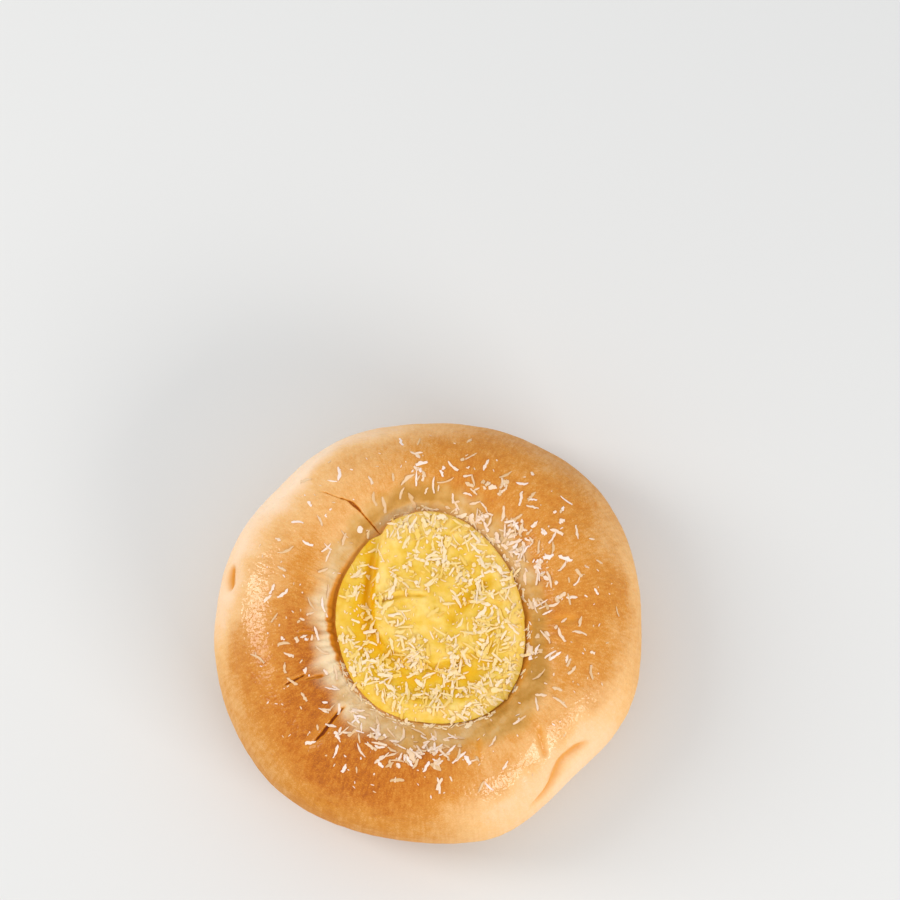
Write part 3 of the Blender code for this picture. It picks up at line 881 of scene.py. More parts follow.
@dataclass(frozen=True)
class DriedCoconut:
    """Coconut flesh, shredded and dried.

    To the eye it is matt, cream-white and a little translucent: yellow shows through it
    on the custard (the lower half of the colours), and tan on the bread (the upper half).
    """

    colours: Stops = (
        (0.0, "#f0c65c"),
        (0.15, "#f6d58d"),
        (0.4, "#f9deb6"),
        (0.5, "#f9e3c6"),
        (0.55, "#dcb27c"),
        (0.75, "#f0cfac"),
        (1.0, "#fae5d9"),
    )
    fibres: Relief = Relief(0.3, 2.0, 0.04)

    def material(self) -> bpy.types.Material:
        """Build the coconut's material.

        Returns:
            The material.
        """
        recipe = Recipe("Coconut flesh, shredded and dried")
        tone = recipe.add("Attribute", {}, "Fac", attribute_name=Paint.TONE.value)
        return recipe.finish(
            {
                "Base Color": recipe.add("ValToRGB", {"Fac": tone}, stops=self.colours),
                "Normal": recipe.raised(self.fibres),
                "Roughness": 0.6,
                "IOR": 1.45,
                "Specular IOR Level": 0.2,
                "Subsurface Weight": 0.12,
                "Subsurface Radius": (1.0, 0.85, 0.65),
                "Subsurface Scale": 0.3 * MM,
            }
        )


@dataclass(frozen=True)
class PaintedBoard:
    """Board, painted matt off-white, for the floor: to the eye plain and pale."""

    colour: str = "#dddcd9"
    roughness: float = 0.85

    def material(self) -> bpy.types.Material:
        """Build the floor's material."""
        recipe = Recipe("Board, painted matt")
        return recipe.finish({"Base Color": linear_colour(self.colour), "Roughness": self.roughness})


@dataclass(frozen=True)
class BrownedOrLitSide(Side):
    """A side painted browner or paler on top and on the side, and a top that begins higher: partly uneven
    baking, and partly painted light on sides toward the lamps and painted shade on sides turned from them.
    """

    on_top: float = 0.0
    on_side: float = 0.0
    higher: float = 0.0


def spoke_places(degrees: np.ndarray, outward: np.ndarray) -> np.ndarray:
    """Lay directions round an upright tube, for patterns that are drawn out like spokes."""
    angle = np.radians(degrees)
    return np.column_stack((SPOKE_TUBE * np.cos(angle), SPOKE_TUBE * np.sin(angle), outward))


@dataclass(frozen=True)
class Groove:
    """The groove in the bread along the custard: deep on one side, and painted dark and warm inside, as
    painted shade and painted light bounced from the custard, and partly damp dough.
    """

    depth: float = 0.12 * MM
    width: float = 0.8 * MM
    offset: float = 0.7 * MM
    deepening: float = 0.8 * MM
    widening: float = 0.3
    deep_side: Side = Side(*GROOVE_SIDE)
    shade: float = 0.3
    shade_sides: tuple[Side, ...] = (Side(*GROOVE_SIDE, 0.28), Side(*PLEATED_SIDE, 0.16))
    reach: float = 0.8 * MM
    reach_sides: tuple[Side, ...] = (
        Side(*GROOVE_SIDE, 1.3 * MM),
        Side(*PLEATED_SIDE, 1.9 * MM),
        Side(168.0, 40.0, 0.6 * MM),
    )
    edge: float = 0.8 * MM
    soft_side: Side = Side(*PLEATED_SIDE, 1.2 * MM)

    def depth_at(self, places: np.ndarray, degrees: np.ndarray) -> np.ndarray:
        """Work out how deep the groove is pressed at each place.

        Args:
            places: places on the bread.
            degrees: their directions before the well was moved to the custard's middle.

        Returns:
            The depth at each place.
        """
        deep = self.deep_side.at(degrees)
        gap = custard_gap(places[:, 0], places[:, 1]) - self.offset
        width = self.width * (1.0 + self.widening * deep)
        return (self.depth + self.deepening * deep) * hump(gap, width)

    def shade_at(self, places: np.ndarray) -> np.ndarray:
        """Work out how much painted shade and painted bounce light the groove along the custard gets at each
        place.

        Args:
            places: vertices of the bread.

        Returns:
            0 outside the groove, and more the darker it is.
        """
        degrees = directions(places)
        reach = self.reach + around(self.reach_sides, degrees)
        inside = reach - custard_gap(places[:, 0], places[:, 1])
        edge = self.edge + self.soft_side.at(degrees)
        dark = self.shade + around(self.shade_sides, degrees)
        return dark * smooth_step(inside / edge)


@dataclass(frozen=True)
class Pleats:
    """Fine pleats in the bread round the well, drawn out like spokes."""

    layers: tuple[Bumps, ...] = (Bumps(0.62 * MM, 1.5, 3.0), Bumps(0.31 * MM, 0.8, 8.0))
    length: float = 9.0 * MM
    start: Pair = (0.0, 1.5 * MM)
    end: Pair = (13.0 * MM, 4.0 * MM)
    least: float = 0.22
    sides: tuple[Side, ...] = (Side(195.0, 38.0), Side(*PLEATED_SIDE, 0.8))

    def over(self, places: np.ndarray) -> np.ndarray:
        """Work out the pleats' height at each place.

        Args:
            places: vertices of the bread.

        Returns:
            Height of the pleats.
        """
        degrees = directions(places, CUSTARD_MIDDLE)
        gap = custard_gap(places[:, 0], places[:, 1])
        relief = layered(self.layers, spoke_places(degrees, gap / self.length))
        relief *= ramp(gap, self.start) * ramp(gap, self.end)
        return relief * (self.least + around(self.sides, degrees))


@dataclass(frozen=True)
class UnbakedDough:
    """The dough near the custard, which is pale and looks raw: where it lies and how creamy it is."""

    width: float = 3.2 * MM
    wider_sides: tuple[Side, ...] = (
        Side(315.0, 30.0, 2.2 * MM),
        Side(118.0, 26.0, 0.5 * MM),
        Side(240.0, 28.0, 2.4 * MM),
    )
    soft_side: Side = Side(210.0, 40.0)
    soft_narrowing: float = 0.8 * MM
    edge: float = 4.0 * MM
    soft_edge: float = 2.0 * MM
    fingers: Bumps = Bumps(1.44 * MM, 2.2, 13.0)
    bays: tuple[Bumps, ...] = (Bumps(1.6 * MM, 9.0 * MM, 11.0), Bumps(0.96 * MM, 3.5 * MM, 17.0))
    least_cream: float = 0.34
    # The side toward 338 degrees is painted darker, partly as painted shade.
    cream_and_shade_sides: tuple[Side, ...] = (
        Side(201.0, 43.0, 0.66),
        Side(40.0, 28.0, 0.15),
        Side(338.0, 30.0, -0.38),
    )
    # Toward 98 degrees the dough by the custard's edge is painted paler, as painted light over the custard's
    # shadow, and darker farther out.
    cream_and_light_edge_side: Side = Side(98.0, 26.0, 0.25)
    cream_edge: Pair = (3.0 * MM, 1.5 * MM)
    cream_patches: Bumps = Bumps(0.26, 6.0 * MM, 31.0)

    def rawness(self, places: np.ndarray) -> np.ndarray:
        """Work out how pale and unbaked the dough is at each place: it is so near the custard.

        Args:
            places: vertices of the bread.

        Returns:
            1 for raw-looking dough to 0 for crust.
        """
        degrees = directions(places, CUSTARD_MIDDLE)
        uneven = self.fingers.over(spoke_places(degrees, np.zeros(len(places))))
        uneven += layered(self.bays, places)
        soft = self.soft_side.at(degrees)
        width = self.width + around(self.wider_sides, degrees) - self.soft_narrowing * soft
        outside = custard_gap(places[:, 0], places[:, 1]) - width - uneven
        return 1.0 - smooth_step(outside / (self.edge + self.soft_edge * soft))

    def creaminess(self, places: np.ndarray) -> np.ndarray:
        """Work out how cream-coloured the unbaked dough is: it is tan but for one side of the well, with
        painted shade on another side and painted light by part of the custard's edge.

        Args:
            places: vertices of the bread.

        Returns:
            0 for tan to 1 for cream.
        """
        degrees = directions(places, CUSTARD_MIDDLE)
        at_edge = 2.0 * ramp(custard_gap(places[:, 0], places[:, 1]), self.cream_edge) - 1.0
        cream = self.least_cream + around(self.cream_and_shade_sides, degrees) + self.cream_patches.over(places)
        return np.clip(cream + at_edge * self.cream_and_light_edge_side.at(degrees), 0.0, 1.0)


@dataclass(frozen=True)
class BrowningWithLight:
    """How far the oven browned the crust: more on the top than on the side, and most on the base; some sides
    and spots also carry painted light and painted shade.
    """

    top: float = 0.62
    side: float = 0.38
    top_height: float = 26.0 * MM
    top_blend: float = 9.5 * MM
    patches: tuple[Bumps, ...] = (Bumps(1.0, 15.0 * MM, 12.0), Bumps(0.4, 5.0 * MM, 18.0))
    patches_on_top: float = 0.1
    patches_on_side: float = 0.06
    patches_lower: float = 3.0 * MM
    # Sides toward 133 and 312 degrees face the lamps and are painted paler, as painted light; sides toward
    # 242 and 66 degrees are painted browner on the side, as painted shade; all are partly uneven baking.
    sides: tuple[BrownedOrLitSide, ...] = (
        BrownedOrLitSide(133.0, 44.0, 1.0, -0.34, -0.42, 3.0 * MM),
        BrownedOrLitSide(312.0, 32.0, 1.0, -0.16, -0.26, 6.0 * MM),
        BrownedOrLitSide(242.0, 38.0, 1.0, 0.17, 0.16),
        BrownedOrLitSide(66.0, 42.0, 1.0, -0.08, 0.11),
    )
    bank: Band = Band(32.0 * MM, 4.5 * MM, 0.2)
    bank_side: Side = Side(172.0, 38.0)
    # Browner or paler spots: the one at (29.5, -26) mm is partly painted shade by the folds, the one at (13,
    # -39) partly a painted sheen, the one at (-50, 4) partly a painted reflection; the others are browner or
    # paler crust.
    spots: tuple[Spot, ...] = (
        Spot(8.0, 33.5, 9.0, 0.14),
        Spot(29.5, -26.0, 6.0, 0.1),
        Spot(13.0, -39.0, 9.0, -0.15),
        Spot(50.0, 15.0, 12.0, -0.14),
        Spot(-50.0, 4.0, 12.0, -0.14),
        Spot(-27.0, 38.0, 7.0, -0.1),
    )
    low_heights: Pair = (12.0 * MM, 0.0)
    low_paling: float = 0.12
    base_heights: Pair = (2.5 * MM, -0.5 * MM)
    base_browning: float = 0.8

    def over(self, places: np.ndarray) -> np.ndarray:
        """Work out how far the crust has browned at each place.

        Args:
            places: vertices of the bread.

        Returns:
            0 for pale apricot to 1 for dark brown.
        """
        degrees = directions(places)
        radius = np.hypot(places[:, 0], places[:, 1])
        patches = layered(self.patches, places)
        top = self.top + self.patches_on_top * patches
        side = self.side + self.patches_on_side * patches
        height = self.top_height - self.patches_lower * patches
        for part in self.sides:
            share = part.at(degrees)
            top += part.on_top * share
            side += part.on_side * share
            height += part.higher * share
        top += self.bank.at(radius) * self.bank_side.at(degrees)
        brown = side + (top - side) * smooth_step((places[:, 2] - height) / self.top_blend)
        brown -= self.low_paling * ramp(places[:, 2], self.low_heights)
        brown += sum(spot.at(places[:, 0], places[:, 1]) for spot in self.spots)
        base = ramp(places[:, 2], self.base_heights)
        return np.clip(brown * (1.0 - base) + self.base_browning * base, 0.0, 1.0)


@dataclass(frozen=True)
class EggGlaze:
    """Egg wash brushed on the top: a thin coat, thicker where it pooled."""

    heights: Pair = (25.0 * MM, 33.0 * MM)
    least: float = 0.02
    thin: float = 0.38
    thicker: float = 0.6
    below_rawness: float = 0.4
    pools: tuple[Spot, ...] = (
        Spot(-42.5, -1.0, 8.5),
        Spot(-42.0, 9.0, 8.0),
        Spot(40.0, -19.5, 5.5),
        Spot(27.5, -32.0, 4.5),
        Spot(14.5, -42.5, 8.0),
    )

    def over(self, places: np.ndarray, rawness: np.ndarray) -> np.ndarray:
        """Work out how much egg glaze lies at each place: it is brushed on the top only.

        Args:
            places: vertices of the bread.
            rawness: how pale and unbaked the dough is at each of them.

        Returns:
            0 for none to 1 for a full coat.
        """
        pooled = np.max([pool.at(places[:, 0], places[:, 1]) for pool in self.pools], axis=0)
        brushed = ramp(places[:, 2], self.heights) * ramp(rawness, (self.below_rawness, 0.0))
        return self.least + (self.thin + self.thicker * pooled) * brushed


@dataclass
class Bread:
    """The bread: a domed ring of crust round a well, on a flat base."""

    girth_height: float = 15.0 * MM
    base_radius: float = 39.0 * MM
    crest_radius: float = 35.5 * MM
    crest_height: float = 37.3 * MM
    below_base: float = 0.8 * MM
    side_fullness: float = 2.15
    floor_shares: tuple[float, ...] = (0.2, 0.5, 0.65, 0.75, 0.83, 0.88, 0.91, 0.94, 0.97)
    bank_rings: int = 34
    top_rings: int = 66
    side_rings: int = 20
    base_shares: tuple[float, ...] = (1.0, 0.96, 0.7, 0.3)
    steps: int = 620
    fine_reach: float = 2.0 * MM
    blend_past_crest: float = 4.0 * MM
    lumps: Bumps = Bumps(1.1 * MM, 24.0 * MM)
    soft_dimples: tuple[Bumps, ...] = (Bumps(0.2 * MM, 7.0 * MM, 5.0), Bumps(0.07 * MM, 2.2 * MM, 9.0))
    dimpled_from: Pair = (0.0, 30.0 * MM)
    groove: Groove = Groove()
    pleats: Pleats = Pleats()
    dough: UnbakedDough = UnbakedDough()
    browning_and_light: BrowningWithLight = BrowningWithLight()
    glaze: EggGlaze = EggGlaze()
    finish: BakedCrust = BakedCrust()
    # The last number of each fold is how dark its inside is painted, as painted shade.
    folds: tuple[Fold, ...] = (
        Fold(((-27.0, 31.1), (-22.6, 29.2), (-18.6, 27.6), (-14.2, 23.3), (-10.2, 19.2)), 0.2, 0.5, 0.1, 1.0),
        Fold(
            ((-28.2, -31.6), (-25.4, -28.6), (-23.3, -25.8), (-21.3, -23.2), (-19.6, -21.6)),
            0.5, 0.8, 0.0, 1.15,
        ),
        Fold(((-31.0, -33.6), (-27.0, -29.8), (-23.4, -25.4), (-19.4, -21.4)), 1.5, 0.4, 0.0, 0.2),
        Fold(((-35.2, -17.4), (-32.0, -15.8), (-29.2, -14.3)), 0.4, 0.6, 0.1, 1.0),
        Fold(((-30.4, -16.0), (-27.8, -15.1), (-24.9, -14.3)), 0.3, 0.4, 0.1, 0.8),
        Fold(((-32.5, -4.4), (-29.6, -4.1), (-27.0, -4.3)), 0.3, 0.35, 0.0, 0.6),
        Fold(((-48.3, 14.5), (-48.6, 10.8), (-48.3, 7.0)), 1.9, 1.0, 0.0, 0.55),
        Fold(
            ((24.2, -45.4), (28.6, -41.4), (30.6, -38.6), (32.4, -34.6), (36.4, -31.2), (40.0, -29.2)),
            1.8, 1.25, 0.1, 0.44,
        ),
        Fold(((26.6, -26.6), (27.2, -31.0), (28.6, -34.6)), 1.1, 0.5, 0.0, 0.45),
        Fold(((11.9, -29.2), (12.4, -36.4)), 1.0, 0.4, 0.0, 0.4),
        Fold(((29.7, -0.9), (36.6, -0.9)), 1.1, 0.6, 0.1, 0.3),
    )

    def profile(self) -> list[Pair]:
        """Trace the mean cross-section, from the well's middle out, down and back in.

        Returns:
            Radius and height of each ring.
        """
        well = CUSTARD_OUTLINE.radius
        foot = (well, WELL.floor_at(1.0))
        crest = (self.crest_radius, self.crest_height)
        girth = (BUN_OUTLINE.radius, self.girth_height)
        base = (self.base_radius, -self.below_base)
        floor = [(share * well, WELL.floor_at(share)) for share in self.floor_shares]
        bank = bank_between(foot, crest, WELL.edge_slope(well), self.bank_rings)
        top = quarter(crest, girth, self.side_fullness, self.top_rings)
        side = quarter(girth, base, self.side_fullness, self.side_rings, False)
        inner_base = [(share * self.base_radius, -self.below_base) for share in self.base_shares]
        return floor + bank + top + side + inner_base

    def shaped(self, places: np.ndarray) -> np.ndarray:
        """Give the turned form its outline, its well round the custard, and its lumps.

        Args:
            places: vertices of the turned form.

        Returns:
            Their new places.
        """
        angle = np.arctan2(places[:, 1], places[:, 0])
        radius = np.hypot(places[:, 0], places[:, 1])
        well = CUSTARD_OUTLINE.radius
        share = ramp(radius, (well, self.crest_radius + self.blend_past_crest))
        outline = share * BUN_OUTLINE.at(angle, 1.0) + (1.0 - share) * CUSTARD_OUTLINE.at(angle, 1.0)
        shaped = places.copy()
        shaped[:, 0] = radius * outline * np.cos(angle) + (1.0 - share) * CUSTARD_MIDDLE[0]
        shaped[:, 1] = radius * outline * np.sin(angle) + (1.0 - share) * CUSTARD_MIDDLE[1]
        rising = smooth_step(shaped[:, 2] / self.girth_height)
        shaped[:, 2] += self.lumps.over(shaped) * rising * ramp(radius, (well, self.crest_radius))
        groove = self.groove.depth_at(shaped, np.degrees(angle))
        shaped[:, 2] -= groove * (shaped[:, 2] > self.girth_height)
        return shaped

    def fine_relief(self, places: np.ndarray) -> np.ndarray:
        """Work out the fine pleats round the well and the soft dimples over the crust.

        Args:
            places: vertices of the bread.

        Returns:
            How far each vertex moves outward.
        """
        radius = np.hypot(places[:, 0], places[:, 1])
        above = smooth_step(places[:, 2] / self.girth_height) * ramp(radius, self.dimpled_from)
        return self.pleats.over(places) + layered(self.soft_dimples, places) * above

    def build(self) -> bpy.types.Object:
        """Build and dress the bread.

        Returns:
            The bread's object.
        """
        places = self.shaped(turned_places(self.profile(), self.steps))
        mesh = ring_mesh(Piece.BREAD.value, places, self.steps)
        lines = fold_lines(mesh, self.folds)
        refine_near(mesh, lines, self.fine_reach)
        shade = press_folds(mesh, self.folds, lines)
        places = vertex_array(mesh)
        push_out(mesh, self.fine_relief(places))
        upper = places[:, 2] > self.girth_height
        rawness = self.dough.rawness(places) * upper
        paint(mesh, Paint.BROWNING_AND_LIGHT, self.browning_and_light.over(places))
        paint(mesh, Paint.RAWNESS, rawness)
        paint(mesh, Paint.GLAZE, self.glaze.over(places, rawness) * (1.0 - np.minimum(shade, 1.0)))
        paint(mesh, Paint.CREAM, self.dough.creaminess(places))
        # Painted shade inside the folds and the groove along the custard.
        paint(mesh, Paint.CREASE_SHADE, np.maximum(shade, self.groove.shade_at(places) * upper))
        places = vertex_array(mesh)
        places[:, 2] = np.maximum(places[:, 2], 0.0)
        move_vertices(mesh, places)
        mesh.shade_smooth()
        mesh.materials.append(self.finish.material())
        return add_piece(Piece.BREAD, mesh, Slot.CRUST, "bun")


@dataclass(frozen=True)
class CustardLightAndShade:
    """How pale the custard is painted, as painted light and painted shade: most on its ridges, its lip and
    its edge, least in its valley.
    """

    plain: float = 0.22
    paler_with_height: float = 0.62
    heights: Pair = (32.6 * MM, 36.2 * MM)
    edge: float = 0.35
    edge_shares: Pair = (0.78, 0.88)
    wall_offset: float = 0.45 * MM
    strip_start: Pair = (-0.15 * MM, 0.15 * MM)
    strip_end: Pair = (2.8 * MM, 2.0 * MM)
    strip: Band = Band(8.0 * MM, 9.5 * MM, 0.6)
    lip: Band = Band(-1.6 * MM, 1.3 * MM, 0.3)
    lip_length: Band = Band(6.0 * MM, 10.0 * MM)
    deep_left: float = 0.14
    deep_left_from: Pair = (-9.0 * MM, -13.0 * MM)

    def over(self, places: np.ndarray, wall_across: float) -> np.ndarray:
        """Work out how pale the custard is painted at each place, as painted light and painted shade.

        Args:
            places: vertices of the custard.
            wall_across: x in plan of the coil's left wall.

        Returns:
            About 0 in the valleys to 1 on the ridges.
        """
        across, along, height = places.T
        low, high = self.heights
        pale = self.plain + self.paler_with_height * np.maximum((height - low) / (high - low), 0.0)
        pale += self.edge * ramp(custard_share(across, along), self.edge_shares)
        outside = wall_across + self.wall_offset - across
        valley = ramp(outside, self.strip_start) * ramp(outside, self.strip_end)
        pale += self.lip.at(outside) * self.lip_length.at(along)
        return pale - valley * self.strip.at(along) - self.deep_left * ramp(across, self.deep_left_from)


@dataclass
class Custard:
    """The custard: an outer turn, a raised coil with a lip, a rim, and a bare bump."""

    gap_below: float = 0.3 * MM
    edge_share: float = 0.945
    girth_share: float = 0.35
    under_shares: tuple[float, ...] = (0.97, 0.93, 0.88, 0.82, 0.75, 0.65, 0.4, 0.1)
    top_rings: int = 64
    shoulder_rings: int = 14
    belly_rings: int = 6
    outer_turn_height: float = 33.4 * MM
    coil_middle: Pair = (1.3 * MM, 1.6 * MM)
    coil_radius: float = 14.8 * MM
    coil_step: float = 1.9 * MM
    coil_shown_from: Pair = (75.0, 120.0)
    coil_shown_to: Pair = (345.0, 285.0)
    hidden_share: float = 0.8
    hidden_reach: float = 0.9
    wall_width: float = 0.9 * MM
    lip: Band = Band(3.4 * MM, 1.7 * MM, 0.35 * MM)
    lean: float = 0.14
    lean_from: float = 4.0 * MM
    flattening: float = 1.13
    valley: Band = Band(-1.4 * MM, 1.1 * MM, 0.9 * MM)
    valley_shares: Pair = (0.95, 0.8)
    valley_shallowing: float = 0.5
    rim: Band = Band(0.84, 0.09, 1.0 * MM)
    rim_hollow: Band = Band(0.62, 0.09, -0.3 * MM)
    rim_toward_deg: float = -45.0
    least_rim: float = 0.35
    rim_spread: float = 0.8
    bump_and_dip: tuple[Spot, ...] = (
        Spot(-1.6, 2.3, 5.0, 0.9 * MM),
        Spot(14.2, 14.2, 3.5, -0.7 * MM),
    )
    notch_toward_deg: float = 119.5
    notch_spread_deg: float = 4.5
    notch_share: float = 0.035
    notch_fade: int = 4
    softened_heights: Pair = (31.0 * MM, 33.0 * MM)
    softness: tuple[Bumps, ...] = (Bumps(0.16 * MM, 4.0 * MM, 2.0), Bumps(0.07 * MM, 1.6 * MM, 4.0))
    steps: int = 420
    tone: CustardLightAndShade = CustardLightAndShade()
    finish: BakedCustard = BakedCustard()
    # The last number of each fold is how much painted shade darkens its inside.
    folds: tuple[Fold, ...] = (
        Fold(((-14.0, 3.4), (-10.5, 4.0), (-6.2, 5.0), (0.7, 5.0)), 0.5, 0.5, 0.25, 0.28),
        Fold(((4.7, -3.2), (7.3, 1.7), (12.4, 7.6), (17.4, 9.2)), 1.8, 0.7, 0.3, 0.25),
    )

    def profile(self) -> list[Pair]:
        """Trace the cross-section with a radius and height of 1, from the top's middle.

        Returns:
            Radius and height of each ring.
        """
        girth = (1.0, self.girth_share)
        rings = range(1, self.top_rings)
        top = [(self.edge_share * ring / self.top_rings, 1.0) for ring in rings]
        shoulder = quarter((self.edge_share, 1.0), girth, 2.0, self.shoulder_rings)
        belly = quarter(girth, (self.under_shares[0], 0.0), 2.0, self.belly_rings, False)
        return top + shoulder + belly + [(share, 0.0) for share in self.under_shares]

    def top(self, across: np.ndarray, along: np.ndarray, share: np.ndarray) -> np.ndarray:
        """Work out the height of the upper surface.

        Args:
            across: x in plan.
            along: y in plan.
            share: distance from the custard's middle as a share of its outline.

        Returns:
            Height of the surface at each place.
        """
        to_right = across - self.coil_middle[0]
        to_top = along - self.coil_middle[1]
        lean = self.lean * np.maximum(to_top - self.lean_from, 0.0)
        inside = self.coil_radius - np.hypot(to_right - lean, self.flattening * np.minimum(to_top, 0.0))
        direction = np.degrees(np.arctan2(to_top, to_right)) % 360.0
        shown = ramp(direction, self.coil_shown_to) * ramp(direction, self.coil_shown_from)
        step = self.coil_step * smooth_step(inside / self.wall_width + 0.5)
        valley = self.valley.at(inside) * ramp(share, self.valley_shares)
        valley *= 1.0 - self.valley_shallowing * smooth_step(-to_top / self.coil_radius)
        plateau = self.coil_step * smooth_step(inside / self.coil_radius + self.hidden_reach)
        coil = shown * (step + self.lip.at(inside) - valley)
        coil += (1.0 - shown) * plateau * self.hidden_share
        rim_angle = np.arctan2(along - CUSTARD_MIDDLE[1], across - CUSTARD_MIDDLE[0])
        facing = np.cos(rim_angle - math.radians(self.rim_toward_deg))
        rim_shown = self.least_rim + (1.0 - self.least_rim) * smooth_step(0.5 + self.rim_spread * facing)
        rim = (self.rim.at(share) + self.rim_hollow.at(share)) * rim_shown
        uneven = sum(spot.at(across, along) for spot in self.bump_and_dip)
        return self.outer_turn_height + coil + rim + uneven

    def shaped(self, places: np.ndarray) -> np.ndarray:
        """Give the turned unit form the custard's outline, underside and piped top.

        Args:
            places: vertices of the turned form.

        Returns:
            Their new places.
        """
        angle = np.arctan2(places[:, 1], places[:, 0])
        share = np.hypot(places[:, 0], places[:, 1])
        aside = turned_from(np.degrees(angle), self.notch_toward_deg)
        notch = self.notch_share * hump(aside, self.notch_spread_deg)
        radius = share * CUSTARD_OUTLINE.at(angle) * (1.0 - notch * share ** self.notch_fade)
        shaped = places.copy()
        shaped[:, 0] = CUSTARD_MIDDLE[0] + radius * np.cos(angle)
        shaped[:, 1] = CUSTARD_MIDDLE[1] + radius * np.sin(angle)
        top = self.top(shaped[:, 0], shaped[:, 1], share)
        underside = WELL.floor_at(share) + self.gap_below
        shaped[:, 2] = underside + places[:, 2] * (top - underside)
        return shaped

    def build(self) -> bpy.types.Object:
        """Build and dress the custard.

        Returns:
            The custard's object.
        """
        places = self.shaped(turned_places(self.profile(), self.steps))
        mesh = ring_mesh(Piece.CUSTARD.value, places, self.steps)
        shade = press_folds(mesh, self.folds, fold_lines(mesh, self.folds))
        places = vertex_array(mesh)
        push_out(mesh, layered(self.softness, places) * ramp(places[:, 2], self.softened_heights))
        # The custard's colour is painted light on its ridges, lip and edge and painted shade in its valley
        # and folds.
        pale = self.tone.over(places, self.coil_middle[0] - self.coil_radius)
        paint(mesh, Paint.RIDGE_LIGHT_AND_SHADE, np.clip(pale - shade, 0.0, 1.0))
        mesh.shade_smooth()
        mesh.materials.append(self.finish.material())
        return add_piece(Piece.CUSTARD, mesh, Slot.CUSTARD, "custard")


@dataclass(frozen=True)
class Shred:
    """One shred of coconut lying in plan: place, heading, length, width and bend."""

    across: float
    along: float
    heading: float
    length: float
    width: float
    bend: float

    def at(self, reach: float) -> Pair:
        """Find a place along the shred's middle in plan.

        Args:
            reach: distance along the shred from its middle.

        Returns:
            The place.
        """
        aside = self.bend * reach * reach / self.length
        sine, cosine = math.sin(self.heading), math.cos(self.heading)
        return self.across + reach * cosine - aside * sine, self.along + reach * sine + aside * cosine

    def line(self) -> list[Pair]:
        """Give five points along the middle of the shred."""
        return [self.at(0.25 * step * self.length) for step in range(-2, 3)]


@dataclass(frozen=True)
class Cut:
    """A kind of shred: its least and greatest length and width."""

    length: Pair
    width: Pair

    def drawn(self, draw: random.Random) -> Pair:
        """Draw a length and a width."""
        return draw.uniform(*self.length), draw.uniform(*self.width)


def beyond(share: float) -> MayLie:
    """Make the test that a place lies beyond a share of the custard's outline."""
    return lambda across, along: custard_share(across, along) > share


def within(share: float) -> MayLie:
    """Make the test that a place lies within a share of the custard's outline."""
    return lambda across, along: custard_share(across, along) < share


